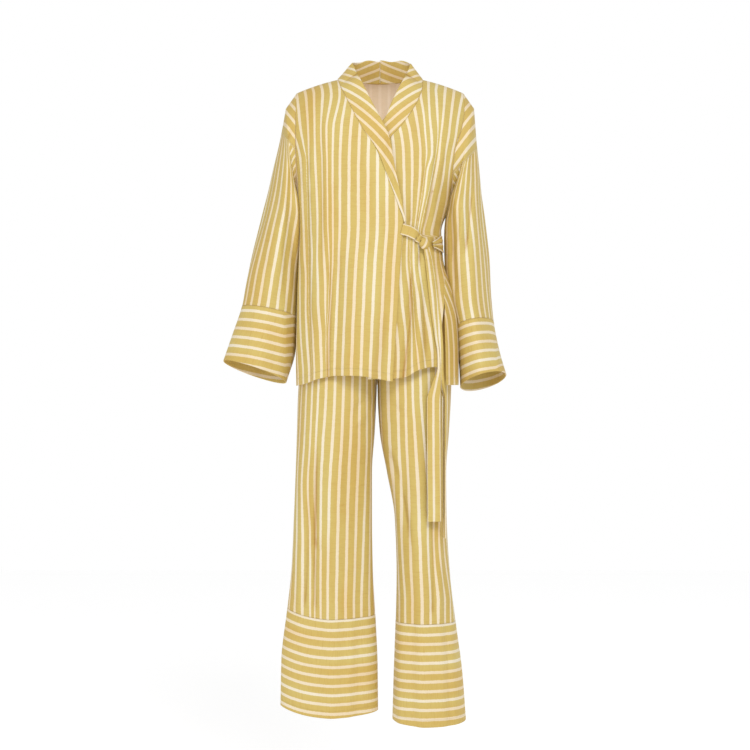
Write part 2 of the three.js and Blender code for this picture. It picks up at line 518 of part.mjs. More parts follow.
// The place of the armhole's edge at a level, on the front or the back, and the panel's direction there.
function armholeAt(side, level, face) {
  const turn = side === 'right' ? rightSide(level) : leftSide(level);
  const place = [face === 'front' ? turn : Math.PI - turn, level];
  const panel = face === 'back' ? backFace : side === 'right' ? rightFace : leftFace;
  const away = facing(torsoAt, place[0], Math.min(level, TOP_LEVEL - BELOW_TOP));
  return { point: panel(...place), away };
}

// How far round the sleeve each level of the armhole lies: 0 is the underarm, half a turn the shoulder.
const armholeHeight = (level) => torso.height(level) - torso.drop(level);
function roundAt(level) {
  const lift = (armholeHeight(level) - armholeHeight(UNDERARM))
    / (armholeHeight(TOP_LEVEL) - armholeHeight(UNDERARM));
  return Math.acos(1 - 2 * clamp(lift, 0, 1));
}
const ROUNDS = [UNDERARM, ...HIGH_LEVELS].map(roundAt);
const SLEEVE_RINGS = [0, 0.5, 1, 1.5, 2.2, 3, 4, 5, 6, CUFF_RING];
const ALL_ROUND = [...ROUNDS, ...ROUNDS.slice(0, -1).reverse().map((round) => 2 * Math.PI - round)];
function levelOf(round) {
  const folded = round > Math.PI ? 2 * Math.PI - round : round;
  let low = UNDERARM;
  let high = TOP_LEVEL;
  for (let pass = 0; pass < PASSES; pass += 1) {
    const middle = (low + high) / 2;
    if (roundAt(middle) < folded) low = middle;
    else high = middle;
  }
  return (low + high) / 2;
}

const rowsOf = {
  right: columns([{ ...SLEEVE_RIGHT[0], ring: 0 }, ...SLEEVE_RIGHT], 'ring'),
  left: columns([{ ...SLEEVE_LEFT[0], ring: 0 }, ...SLEEVE_LEFT], 'ring'),
};

// A sleeve. round is 0 at the underarm and half a turn at the outer edge; ring runs down it.
function sleeveAt(side, round, ring) {
  const face = (side === 'right') === Math.sin(round) > 0 ? 'front' : 'back';
  const row = rowsOf[side];
  const along = Math.max(ring, 1);
  const outer = vector(row.outX(along), row.outY(along), row.outZ(along));
  const inner = vector(row.inX(along), row.inY(along), row.inZ(along));
  const middle = outer.clone().add(inner).multiplyScalar(0.5);
  const reach = outer.clone().sub(inner).multiplyScalar(0.5);
  const down = vector(side === 'right' ? -1 : 1, 0, -1).lerp(vector(0, 0, -1), smooth(0, 4, ring));
  const across = reach.clone().cross(down).normalize();
  const point = middle
    .addScaledVector(reach, -Math.cos(round))
    .addScaledVector(across, row.depth(along) * Math.sin(round));
  point.z -= across.y * Math.sin(round) * row.tilt(along);
  const form = side === 'right' ? 'sleeveRight' : 'sleeveLeft';
  point.addScaledVector(across, Math.abs(Math.sin(round)) * Math.sign(Math.sin(round))
    * foldAt(form, face, point.x, point.z));
  if (ring >= 1) return point;
  const seam = armholeAt(side, levelOf(round), face);
  return startOff(seam.point, seam.away, point).lerp(point, Math.max(ring, 0));
}
const sleeve = (side) => (round, ring) => sleeveAt(side, (round + 2 * Math.PI) % (2 * Math.PI), ring);

// ---------------------------------------------------------------- the collar

// The band runs from 0 at the middle of the back neck to 1 at the shoulder, and then down the front,
// where 1 + n is n levels below the shoulder.
const NECK_TURN = turnAt(NECK_HALF, TOP_LEVEL);

function collar(side) {
  const front = columns(side === 'right' ? COLLAR_RIGHT : COLLAR_LEFT, 'seam');
  const stand = columns(COLLAR_STAND, 'at');
  const sign = side === 'right' ? -1 : 1;
  const panel = side === 'right' ? frontRight : frontLeft;
  const face = side === 'right' ? rightFace : leftFace;
  const edge = side === 'right' ? 1 : 0;
  const onBack = (at) => {
    const turn = Math.PI - sign * NECK_TURN * at;
    const level = TOP_LEVEL - neckScoop(torsoAt(turn, TOP_LEVEL).x);
    const seam = backFace(turn, level);
    const away = facing(torsoAt, turn, Math.min(level, TOP_LEVEL - BELOW_TOP));
    return { seam, away, free: vector(front.x(4) * Math.sin(at * QUARTER), -stand.stand(at), stand.z(at)) };
  };
  const onFront = (at) => {
    const level = TOP_LEVEL - (at - 1);
    const seam = panel(edge, level);
    const away = facing(panel, edge, level);
    const x = front.x(seam.z);
    const z = front.z(seam.z);
    const chestLevel = levelAt(x, z);
    const chest = face(turnAt(x, chestLevel), chestLevel).y;
    return { seam, away, free: vector(x, chest - front.stand(seam.z), z) };
  };
  // u runs across the band: it starts at the free edge on the right and at the seam on the left.
  return (u, at) => {
    const { seam, away, free } = at > 1 ? onFront(at) : onBack(Math.max(at, 0));
    return startOff(seam, away, free).lerp(free, side === 'right' ? 1 - u : u);
  };
}

// ---------------------------------------------------------------- the tie

// The level of the torso at a height below the underarm.
function levelOfHeight(z) {
  let low = 0;
  let high = UNDERARM;
  for (let pass = 0; pass < PASSES; pass += 1) {
    const middle = (low + high) / 2;
    if (torso.height(middle) < z) low = middle;
    else high = middle;
  }
  return (low + high) / 2;
}

// A strap that lies on the top. Its stations run from one end to the other.
function strap(stations) {
  const numbered = stations.map((station, i) => ({ at: i / (stations.length - 1), ...station }));
  const row = columns(numbered, 'at');
  const middle = (along) => {
    const place = [radians(row.turn(along)), levelOfHeight(row.z(along))];
    return rightFace(...place).addScaledVector(facing(rightFace, ...place), row.out(along));
  };
  return (u, v) => {
    const along = clamp(v, 0.01, 0.99);
    const path = middle(along + 0.01).sub(middle(along - 0.01)).normalize();
    const away = facing(rightFace, radians(row.turn(along)), levelOfHeight(row.z(along)));
    const aside = path.cross(away).normalize();
    return middle(clamp(v, 0, 1)).addScaledVector(aside, row.half(along) * (2 * u - 1));
  };
}

// A free end: it hangs from the knot, slips through the side slit and opens out below the hem.
function tail(stations) {
  const row = columns(stations, 'z');
  const top = Math.max(...stations.map((station) => station.z));
  const bottom = Math.min(...stations.map((station) => station.z));
  return (u, v) => {
    const z = mix(top, bottom, v);
    const aside = row.half(z) * (2 * u - 1);
    const turned = radians(row.yaw(z));
    return vector(row.x(z) - Math.cos(turned) * aside, row.y(z) - Math.sin(turned) * aside, z);
  };
}

// The knot: a flattened roll of cloth, squarer than a ball.
function knot({ x, y, z, halfX, halfY, halfZ, yaw }) {
  const surface = (u, v) => {
    const turn = u * 2 * Math.PI;
    const tip = mix(-QUARTER, QUARTER, mix(0.04, 0.96, v));
    const round = Math.cos(tip) ** KNOT_SHOULDER;
    const side = halfX * power(Math.sin(turn), KNOT_SQUARE) * round;
    const depth = -halfY * power(Math.cos(turn), KNOT_SQUARE) * round;
    const bend = radians(yaw);
    return vector(x + side * Math.cos(bend) - depth * Math.sin(bend),
      y + side * Math.sin(bend) + depth * Math.cos(bend), z + halfZ * power(Math.sin(tip), KNOT_SQUARE));
  };
  const points = [];
  const faces = [];
  for (let j = 0; j <= KNOT_ROWS; j += 1) {
    for (let i = 0; i < KNOT_COLUMNS; i += 1) points.push(surface(i / KNOT_COLUMNS, j / KNOT_ROWS));
  }
  const at = (i, j) => j * KNOT_COLUMNS + (i % KNOT_COLUMNS);
  for (let j = 0; j < KNOT_ROWS; j += 1) {
    for (let i = 0; i < KNOT_COLUMNS; i += 1) {
      faces.push(at(i, j), at(i + 1, j), at(i + 1, j + 1), at(i, j), at(i + 1, j + 1), at(i, j + 1));
    }
  }
  for (const [row, flip] of [[0, true], [KNOT_ROWS, false]]) {
    const middle = points.length;
    const ring = Array.from({ length: KNOT_COLUMNS }, (_, i) => points[at(i, row)]);
    points.push(ring.reduce((sum, point) => sum.add(point), vector(0, 0, 0)).divideScalar(KNOT_COLUMNS));
    for (let i = 0; i < KNOT_COLUMNS; i += 1) {
      const [a, b] = flip ? [at(i + 1, row), at(i, row)] : [at(i, row), at(i + 1, row)];
      faces.push(middle, a, b);
    }
  }
  const geometry = new THREE.BufferGeometry().setFromPoints(points);
  geometry.setIndex(faces);
  return geometry;
}

// ---------------------------------------------------------------- the trousers

// A leg. turn is the way round, as on the torso; level runs from the hem up to the waist.
function leg(table, side) {
  const row = columns(table, 'level');
  const form = side === 'right' ? 'legRight' : 'legLeft';
  const outward = side === 'right' ? -1 : 1;
  const base = (turn, at) => {
    const level = clamp(at, 0, WAIST_LEVEL);
    const outer = row.outer(level);
    const inner = row.inner(level) + outward * SEAM_GAP / 2;
    const middle = (outer + inner) / 2;
    const half = Math.abs(outer - inner) / 2;
    const reach = power(Math.sin(turn), LEG_SQUARE);
    const depth = Math.cos(turn) > 0 ? row.front(level) : row.back(level);
    const closed = vector(middle + half * reach, depth * Math.abs(Math.cos(turn)) ** LEG_SQUARE, 0);
    const front = Math.cos(turn) > 0;
    const away = Math.acos(clamp(outward * Math.sin(turn), -1, 1)) / 2;
    const hipX = inner + (outer - inner) * Math.cos(away) ** LEG_SQUARE;
    const hipY = (front ? row.front(level) : row.back(level)) * Math.sin(away) ** LEG_SQUARE;
    const point = closed.lerp(vector(hipX, hipY, 0), row.hip(level));
    const rise = outward * reach > 0 ? row.riseOut(level) : row.riseIn(level);
    point.z = row.height(level) + rise * reach * reach;
    return point;
  };
  return folded(base, form);
}

// The front or the back of a leg, between its side seam and its inseam.
const legPanel = (surface, face) => (u, level) => {
  const start = face === 'front' ? -QUARTER : QUARTER;
  const turn = clamp(start + u * Math.PI, start + EDGE_TURN, start + Math.PI - EDGE_TURN);
  return surface(turn, level);
};
const legTube = (surface) => (u, level) => surface(-QUARTER + u * 2 * Math.PI, level);

// The gathered waistband: a ring on the waists of both legs.
const waistband = (u, v) => {
  const turn = u * 2 * Math.PI;
  const right = LEG_RIGHT.at(-1);
  const left = LEG_LEFT.at(-1);
  const side = Math.sin(turn) < 0 ? -right.outer : left.outer;
  const depth = Math.cos(turn) > 0 ? right.front : right.back;
  return vector(side * power(Math.sin(turn), LEG_SQUARE), depth * Math.abs(Math.cos(turn)) ** LEG_SQUARE,
    right.height + v * WAISTBAND_HEIGHT);
};

// ---------------------------------------------------------------- the pieces

const YELLOW = 0xe0c26e;
const DEEP_YELLOW = 0xd6b45f;
const kimonoSet = new THREE.Group();

function add(name, geometry, color = YELLOW) {
  const material = new THREE.MeshStandardMaterial({ color, roughness: 0.85, metalness: 0 });
  const mesh = new THREE.Mesh(geometry, material);
  mesh.name = name;
  kimonoSet.add(mesh);
}

// The back has a column at each end of the neck hole.
const neckShare = (QUARTER - NECK_TURN) / Math.PI;
const BACK_COLUMNS = [
  ...evenly(0, neckShare, BACK_SIDE_COLUMNS), ...evenly(neckShare, 0.5, NECK_COLUMNS).slice(1),
  ...evenly(0.5, 1 - neckShare, NECK_COLUMNS).slice(1),
  ...evenly(1 - neckShare, 1, BACK_SIDE_COLUMNS).slice(1),
];
const torsoSeams = ['start', 'end'];
add('back', wall({ surface: back, direction: levelled(back), us: BACK_COLUMNS, vs: LEVELS, thickness: CLOTH,
  seams: torsoSeams }));
add('front_right', wall({ surface: frontRight, direction: levelled(frontRight),
  us: evenly(0, 1, FRONT_RIGHT_COLUMNS), vs: LEVELS, thickness: CLOTH, seams: torsoSeams }));
add('front_left', wall({ surface: frontLeft, direction: levelled(frontLeft),
  us: evenly(0, 1, FRONT_LEFT_COLUMNS), vs: LEVELS, thickness: CLOTH, seams: torsoSeams }));

// The collar passes the same levels as the edges of the fronts, down to the tie.
for (const side of ['right', 'left']) {
  const panel = side === 'right' ? frontRight : frontLeft;
  const edge = side === 'right' ? 1 : 0;
  const down = [...LEVELS].reverse().slice(1).filter((level) => panel(edge, level).z > TIE_HEIGHT);
  const along = [...evenly(0, 1, NECK_COLUMNS), ...down.map((level) => 1 + TOP_LEVEL - level)];
  const surface = collar(side);
  const square = (u, at) => {
    const away = facing(surface, u, at);
    return at < 0.01 ? away.setX(0).normalize() : away;
  };
  add(`collar_${side}`, wall({ surface, direction: square, us: evenly(0, 1, 2), vs: along,
    thickness: DOUBLED, seams: [side === 'right' ? 'end' : 'start', 'low'] }), DEEP_YELLOW);
  add(`sleeve_${side}`, wall({ surface: sleeve(side), us: ALL_ROUND,
    vs: SLEEVE_RINGS, thickness: CLOTH, seams: ['low', 'high'], loop: true }));
  add(`cuff_${side}`, wall({ surface: sleeve(side), us: ALL_ROUND, vs: evenly(CUFF_RING, SLEEVE_END, 2),
    thickness: DOUBLED, seams: ['low'], loop: true }), DEEP_YELLOW);
}

add('tie_strap', wall({ surface: strap(TIE_STRAP), us: evenly(0, 1, 2), vs: evenly(0, 1, 4),
  thickness: DOUBLED }), DEEP_YELLOW);
add('tie_side', wall({ surface: strap(TIE_SIDE), us: evenly(0, 1, 2), vs: evenly(0, 1, 3),
  thickness: DOUBLED }), DEEP_YELLOW);
add('tie_knot', knot(KNOT), DEEP_YELLOW);
const TAIL_PLACES = [...evenly(0, TAIL_CROSSING, 5), ...evenly(TAIL_CROSSING, 1, TAIL_ROWS).slice(1)];
add('tie_tail_front', wall({ surface: tail(TAIL_FRONT), us: evenly(0, 1, 2), vs: TAIL_PLACES,
  thickness: DOUBLED }), DEEP_YELLOW);
add('tie_tail_back', wall({ surface: tail(TAIL_BACK), us: evenly(0, 1, 2), vs: TAIL_PLACES,
  thickness: DOUBLED }), DEEP_YELLOW);

const LEG_LEVELS = [BAND_LEVEL, 2.7, 3.5, 4.4, 5.3, 6.2, 7, 8, 9, 10, 11, WAIST_LEVEL];
for (const side of ['right', 'left']) {
  const surface = leg(side === 'right' ? LEG_RIGHT : LEG_LEFT, side);
  for (const face of ['front', 'back']) {
    add(`leg_${face}_${side}`, wall({ surface: legPanel(surface, face), us: evenly(0, 1, LEG_COLUMNS),
      vs: LEG_LEVELS, thickness: CLOTH, seams: ['start', 'end', 'low', 'high'] }));
  }
  add(`hem_band_${side}`, wall({ surface: legTube(surface), us: evenly(0, 1, 2 * LEG_COLUMNS),
    vs: evenly(0, BAND_LEVEL, BAND_ROWS),
    thickness: DOUBLED, seams: ['high'], loop: true }), DEEP_YELLOW);
}
add('waistband', wall({ surface: waistband, us: evenly(0, 1, WAISTBAND_COLUMNS), vs: [0, 1],
  thickness: ELASTIC, seams: ['low'], loop: true }), DEEP_YELLOW);

export default kimonoSet;
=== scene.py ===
# %% [markdown]
# # A kimono-style wrap top and wide trousers
# The set is striped woven cotton: a wrap top that closes with its own tie, and loose trousers with
# deep hem bands. Nobody wears it here, but every panel keeps the hollow form that it has when
# worn.
#
# Cloth like this could be simulated, but a garment that hangs in a set pose is easier to control
# when each panel is a smooth surface from a few measured sections, with its folds listed one by
# one.
# That is how all the panels are made. The lengths in the tables are millimetres, and +Z is up.

import math

import bpy
import numpy as np
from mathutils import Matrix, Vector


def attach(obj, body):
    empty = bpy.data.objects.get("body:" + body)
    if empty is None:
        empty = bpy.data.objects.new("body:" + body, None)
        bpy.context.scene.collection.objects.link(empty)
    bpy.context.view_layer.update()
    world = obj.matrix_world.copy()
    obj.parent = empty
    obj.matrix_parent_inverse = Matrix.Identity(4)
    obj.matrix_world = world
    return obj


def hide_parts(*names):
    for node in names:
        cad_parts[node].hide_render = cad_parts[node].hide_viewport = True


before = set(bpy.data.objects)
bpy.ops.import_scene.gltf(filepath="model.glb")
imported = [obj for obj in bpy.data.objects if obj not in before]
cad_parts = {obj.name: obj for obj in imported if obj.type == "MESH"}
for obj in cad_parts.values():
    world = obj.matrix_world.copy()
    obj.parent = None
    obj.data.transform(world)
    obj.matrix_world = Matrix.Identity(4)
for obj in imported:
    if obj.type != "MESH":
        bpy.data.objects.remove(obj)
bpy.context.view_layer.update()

# %% [markdown]
# ## Reading a table
# A garment is measured in sections: so wide, so deep and so high at each level. A table holds a
# row for each section, under named columns, and a smooth curve through a column gives the sizes in
# between. The curve is kept from swinging past its rows, because cloth doesn't bulge between two
# equal sections.

# %% Tables and curves
MM = 0.001


def table(text):
    names, *rows = [line.split() for line in text.strip().splitlines()]
    return {name: np.array([float(row[i]) for row in rows]) for i, name in enumerate(names)}


def curve(rows, key, name):
    order = np.argsort(rows[key])
    at, value = rows[key][order], rows[name][order]
    step = np.diff(value) / np.diff(at)
    before, after = step[:-1], step[1:]
    same_way = before * after > 0
    middle = np.where(same_way, 2 * before * after / np.where(same_way, before + after, 1), 0)
    slope = np.concatenate([step[:1], middle, step[-1:]])

    def read(where):
        x = np.clip(where, at[0], at[-1])
        i = np.clip(np.searchsorted(at, x) - 1, 0, len(at) - 2)
        width = at[i + 1] - at[i]
        t = (x - at[i]) / width
        a = value[i] * (1 + 2 * t) + slope[i] * width * t
        b = value[i + 1] * (3 - 2 * t) - slope[i + 1] * width * (1 - t)
        return a * (1 - t) ** 2 + b * t**2

    return read


def curves(rows, key):
    return {name: curve(rows, key, name) for name in rows if name != key}


print("half way along a curve", float(curve(table("at size\n0 0\n2 10\n4 12"), "at", "size")(1.0)))

# %% Points and directions
def smooth(low, high, at):
    t = np.clip((at - low) / (high - low), 0, 1)
    return t * t * (3 - 2 * t)


def power(value, exponent):
    return np.sign(value) * np.abs(value) ** exponent


def point(x, y, z):
    return np.stack(np.broadcast_arrays(x, y, z), -1).astype(float)


def length_of(v):
    return np.sqrt((v * v).sum(-1, keepdims=True))


def unit(v):
    return v / np.maximum(length_of(v), 1e-12)


def facing(surface, u, v):
    """The outward direction of a surface at a place on it, from four places close by."""
    near = 1e-3
    across = surface(u + near, v) - surface(u - near, v)
    up = surface(u, v + near) - surface(u, v - near)
    return unit(np.cross(across, up))


print("a slanting direction", unit(point(3, 0, 4)))

# %% [markdown]
# ## Folds and creases
# Soft cloth shows where it is held: folds open towards a free hem, drag lines run to the tie, and
# short creases gather in the crook of an arm. A simulation makes such folds at random places. Each
# one is listed here instead, as a trough or a ridge along a bent line with its own depth
# and width. A fold builds up over the rise share of its line, and dies away over the fall share.
# With no fall it stays open to the hem. Lean makes one of its flanks steeper than the other. A
# line with one word names the form and the face that the folds below it lie on.

# %% Reading a table of folds
folds = {}


def add_folds(text):
    """Adds a table's folds to their faces, and says how many folds each face has so far."""
    names, *lines = [line.split() for line in text.strip().splitlines()]
    for line in lines:
        if len(line) == 1:
            face = folds.setdefault(line[0], [])
        else:
            face.append(dict(zip(names, map(float, line))))
    print("folds", {place: len(rows) for place, rows in folds.items()})


print("faces with folds so far:", len(folds))

# %% Folds of the top in front
add_folds("""
   x     z to_x  to_z bend depth width lean rise fall
torso-front
-112  -230 -138  -667    0     6    20    0  .35    0
 -88  -300 -102  -667    0    -6    17    0  .35    0
 -50  -330  -66  -667    0     5    20    0  .35    0
  30  -360   -8  -667    0  -3.4    20    0  .35    0
  72  -365   52  -667    0    -6    14    0  .35    0
  84  -370   76  -667    0     6    14    0  .35    0
  98  -375   98  -667    0    -6    12    0  .35    0
 150  -180  100  -345    0    -6    16    0   .5   .5
 110  -160   84  -340    0     5    16    0   .5   .5
 101  -165   79  -350   -2  -3.5     6  -.3   .3    0
 111  -170   88  -352   -2     3     8    0   .3   .2
 125  -112   91  -350    5    -4     6  -.3   .3    0
 135  -120  101  -352    6     3     9    0   .3   .2
 151  -200  118  -352    4  -3.5     7    0   .4   .1
  66  -205   62  -338    2  -2.2     8    0   .4   .2
  63  -352   80  -640   -3  -2.8     8   .3   .1    0
  72  -360   94  -640   -3     3     8    0  .15    0
  88  -370  104  -620   -4    -3     6    0   .1   .2
 124  -385  119  -667    0    -4     7    0   .2    0
 136  -420  138  -667    0     3     9    0   .3    0
-107  -350 -114  -667    2  -3.5     6   .3   .3    0
 -98  -340 -104  -667    2   2.5     8    0   .3    0
-158  -130 -147  -667   -2  -3.5     6  -.3  .12    0
-149  -140 -138  -667   -2   2.5     7    0  .15    0
-131   -40 -125  -560    3    -2     6    0   .2   .4
-121   -50 -118  -520    3   1.8     6    0   .2   .4
-104   -60 -101  -330    4  -1.8     7    0   .3   .5
 -64  -130  -84  -400    5     2     9    0   .3   .5
 -20  -420  -40  -667    3   2.4    10    0   .5    0
  36  -300    4  -560    5   2.2    11    0   .4   .5
 128   -40  138  -150    4     2     9    0   .4   .5
  84   -60   92  -200    3  -1.8     9    0   .4   .5
-168  -200 -150  -260    0   2.6     8    0   .4   .5
 146  -150  120  -250    4    -3     8    0   .3   .5
 118  -440  150  -500    3    -3     7    0   .3   .6
""")

# %% Folds of the back, the sides and the collar
add_folds("""
   x     z to_x  to_z bend depth width lean rise fall
torso-back
 -95  -150 -110  -667    0     6    22    0  .35    0
 -40  -230  -52  -667    0    -6    20    0  .35    0
   8  -270    4  -667    0     5    20    0  .35    0
  62  -200   70  -667    0    -7    20    0  .35    0
 104  -300  118  -667    0     6    20    0  .35    0
-150   -60 -120  -230    6    -4    14    0   .4   .5
-132   -90 -100  -260    5   3.5    13    0   .4   .5
 148   -60  118  -240   -5    -4    14    0   .4   .5
 126  -100   98  -280   -5     3    12    0   .4   .5
 150  -250   95  -352   -5  -3.5    12    0   .4   .5
 150  -440   92  -372    4    -3    10    0   .4   .5
 -70  -380  -82  -667    3     3     9    0   .4    0
 -18  -420  -26  -667   -3    -3     9    0   .4    0
  34  -360   40  -667    3  -2.6    10    0   .4    0
  86  -400   96  -667    3   3.2    10    0   .4    0
-126  -420 -140  -667   -3  -3.4    10    0   .4    0
 -60   -20  -40  -110    3  -1.8    10    0   .4   .5
  52   -20   38  -120   -3  -1.8    10    0   .4   .5
torso-right
 -50  -190  -52  -667    0     4    18    0  .12    0
  15  -190   16  -640    0    -7    26    0   .1   .1
  62  -330   70  -667    3     3    14    0   .4    0
torso-left
 -45  -400  -50  -667    0     3    18    0   .3    0
 -12  -236  -12  -330    0     5    30    0   .4   .5
  16  -400   18  -660    0    -5    22    0   .3   .1
collar-right
   2  -120   24  -236    2     3     6    0   .2   .2
  10  -120   30  -230    2    -3     5    0   .2   .2
  20  -150   34  -260   -2     3     4    0   .3   .2
 -52   -30  -10  -110    0     2     9    0   .3   .4
collar-left
  52   -30   14  -100    0     2     9    0   .3   .4
""")

# %% Folds of the legs
add_folds("""
   x     z to_x  to_z bend depth width lean rise fall
legRight-front
-133  -700 -139 -1180   -6    -3     8    0   .4   .1
-122  -700 -128 -1180   -6   3.5     8    0   .4   .1
-158  -760 -166 -1170    4    -4     7    0   .4   .1
-170  -800 -176 -1170    3     3     7    0   .4   .1
 -60  -960  -70 -1391    3     3    11    0   .4    0
 -86  -690  -94  -980    4   2.4     9    0   .4   .5
-146  -990 -120 -1060    2    -3     7    0   .5   .5
 -20  -690  -60  -730   -4    -3     8    0   .4   .5
 -16  -715  -64  -770   -4   2.4     8    0   .4   .5
-130  -680 -150 -1185    0  -5.5    15    0   .5   .5
-100  -700 -104 -1391    0     7    20    0  .35    0
 -46  -760  -50 -1391    0    -3    20    0  .35    0
legLeft-front
  10  -800   38  -890    3    -5     8    0   .3   .4
  38  -870   66 -1040    3    -4     8    0   .3   .5
  52  -880   80 -1050    3     3     9    0   .3   .5
 108  -830  112 -1180    4  -3.4     8    0   .4   .1
 120  -850  128 -1190    4     3     8    0   .4   .1
 136  -980  152 -1406    0  -3.4     8    0   .4    0
  70 -1050   76 -1406    0    -3    10    0   .4    0
  20  -700   52  -745    4    -3     8    0   .4   .5
  46 -1120   44 -1406    0     3    10    0   .4    0
  40  -690   62 -1100    0    -5    15    0   .5   .5
  84  -700   92 -1406    0     6    20    0  .35    0
legRight-back
 -30  -690  -96  -760   -6    -5    12    0   .4   .5
 -40  -730 -100  -810   -6     4    12    0   .4   .5
-150  -760 -162 -1200    3    -4    10    0   .4   .3
 -98  -980 -106 -1391    3     3    10    0   .4    0
-120  -640 -140 -1391    0     6    22    0  .35    0
 -70  -700  -76 -1391    0  -4.2    24    0  .35    0
legLeft-back
  20  -700   84  -770    6    -5    12    0   .4   .5
  28  -745   86  -820    6     4    12    0   .4   .5
  44  -980   54 -1406    0   3.4    10    0   .4    0
  90  -960  102 -1406    0    -4    10    0   .4    0
  60  -660   76 -1406    0    -5    24    0  .35    0
 110  -700  126 -1406    0     6    20    0  .35    0
""")

# %% Folds of the sleeves
add_folds("""
   x     z to_x  to_z bend depth width lean rise fall
sleeveRight-front
-200  -120 -236  -330    0    -8    16    0   .5   .5
-214  -260 -262  -640    0     5    20    0  .35    0
-222  -112 -168  -156    0    -5     6    0   .2   .1
-222   -98 -172  -138    0     4     9    0   .2   .2
-190  -165 -196  -450   -4  -9.5     9    0  .15   .4
-202  -165 -210  -440   -5     6    10    0   .2   .4
-180  -230 -182  -440    2   3.5     6    0   .3   .4
-216  -300 -206  -480    5    -6     8    0   .3   .4
-238  -220 -262  -470   -3    -3     9    0   .4   .3
-256  -360 -270  -490    0     3     9    0   .4    0
-209  -470 -206  -660    0     5    12   .4  .15    0
-181  -176 -185  -500   -3    -9     8    0   .1   .3
-228  -140 -232  -300    3    -6     8    0   .2   .5
sleeveLeft-front
 196  -140  176  -330    0    -8    14    0   .5   .5
 204  -260  214  -640    0     5    16    0  .35    0
 218  -144  144  -222    4    -6     7    0  .15   .1
 214  -122  142  -190    4     5     9    0  .15   .2
 186  -196  150  -262   -4    -6     8    0   .2   .3
 170  -236  156  -300   -3     4     7    0   .3   .4
 206  -160  184  -330    6    -8     8    0  .12   .5
 194  -230  176  -420    4    -8     8    0   .2   .4
 182  -260  164  -400    4     6     7    0   .2   .4
 206  -330  196  -520    3     4     9    0   .3   .2
 226  -240  238  -500   -3    -4     9    0   .4   .3
 248  -500  262  -680    0     7    11  -.4  .15    0
 152  -250  166  -500   -3    -9     8    0   .1   .3
 200  -150  214  -260   -3    -6     7    0   .2   .5
sleeveRight-back
-222  -110 -176  -160    0    -5     8    0   .2   .1
-196  -180 -204  -430    4    -5    10    0   .2   .4
-226  -260 -246  -480    3     6    11    0   .3   .3
-262  -380 -284  -640    0    -3    12    0   .3    0
sleeveRight-outer
 -20  -160  -24  -420    4    -3    11    0   .3   .5
  22  -220   16  -480   -4     3    11    0   .3   .4
sleeveLeft-back
 218  -144  150  -214    4    -5     9    0   .2   .1
 196  -220  180  -430   -4    -5    10    0   .2   .4
 222  -260  226  -500    3     6    11    0   .3   .3
sleeveLeft-outer
 -20  -170  -26  -430    4    -3    11    0   .3   .5
  20  -230   12  -480   -4     3    11    0   .3   .4
""")

# %% Folds on a surface
FACING_FRONT, FACING_SIDE = (0.15, 0.6), (0.35, 0.8)


def fold_at(place, x, z):
    """The sum of the folds of one face of a form, at places on it."""
    total = np.zeros(np.broadcast(x, z).shape)
    for fold in folds.get(place, []):
        step_x, step_z = fold["to_x"] - fold["x"], fold["to_z"] - fold["z"]
        size = math.hypot(step_x, step_z)
        t = ((x - fold["x"]) * step_x + (z - fold["z"]) * step_z) / size**2
        along = np.clip(t, 0, 1)
        fade = smooth(0, fold["rise"], t)
        if fold["fall"]:
            fade = fade * (1 - smooth(1 - fold["fall"], 1, t))
        aside = ((z - fold["z"]) * step_x - (x - fold["x"]) * step_z) / size
        away = (aside - fold["bend"] * 4 * along * (1 - along)) / fold["width"]
        away = away * np.where(away > 0, 1 + fold["lean"], 1 - fold["lean"])
        total += fold["depth"] * fade * np.exp(-away * away)
    return total


def folded(base, form):
    """A surface with the folds of its form, moved along its own outward direction."""

    def surface(u, v):
        p = base(u, v)
        away = facing(base, u, v)
        x, y, z = p[..., 0], p[..., 1], p[..., 2]
        out_x, out_y = away[..., 0], away[..., 1]
        plain = np.where(out_y < 0, fold_at(form + "-front", x, z), fold_at(form + "-back", x, z))
        side = np.where(out_x < 0, fold_at(form + "-right", y, z), fold_at(form + "-left", y, z))
        moved = plain * smooth(*FACING_FRONT, np.abs(out_y))
        moved += side * smooth(*FACING_SIDE, np.abs(out_x))
        return p + away * moved[..., None]

    return surface


print("deepest fold", min(fold["depth"] for rows in folds.values() for fold in rows), "mm")

# %% [markdown]
# ## The form of the top
# The top is a squarish ring round the chest at each level, from the hem (level 0) up to the
# shoulder seams (level 12). height is that of the middle; the sides hang lower by drop, and lift
# raises the middle of the back. armRight and armLeft are where the ring is cut for the sleeves,
# and seam is where the left side seam runs, in degrees from the middle of the front: the tie pulls
# it forward. The hems and wrap edges are tables of their own, because they are cut across the
# rings.

# %% The rings of the torso
TORSO = table("""
level height drop lift right left front back armRight armLeft seam
0   -667   0   0  -183   172  -128  132  -183    172  46
1   -600   0   0  -184   172  -127  131  -184    172  46.6
2   -530   0   0  -182.5 170  -125  128  -182.5  170  48
3   -460   0   0  -181   157  -122  120  -181    157  58
4   -390   0   0  -178.5 138  -117  110  -178.5  136  80
5   -330   0   0  -176   134  -116  106  -176    132  90
6   -250   0   0  -180   155  -120  110  -180    155  90
7   -160  10   8  -196   182  -116  113  -182    160  90
8    -90  20  16  -206   200  -102  104  -183    177  90
9    -45  27  22  -208   206   -82   85  -183    183  90
10   -12  34  17  -206   206   -56   60  -183    183  90
11     7  38   6  -198   198   -28   31  -183    183  90
12    14  40   0  -183   183     0    0  -183    183  90
""")
OUTWARD = {"right": -1, "left": 1}
print("rings of the torso", len(TORSO["level"]), "and its hem at", TORSO["height"][0])

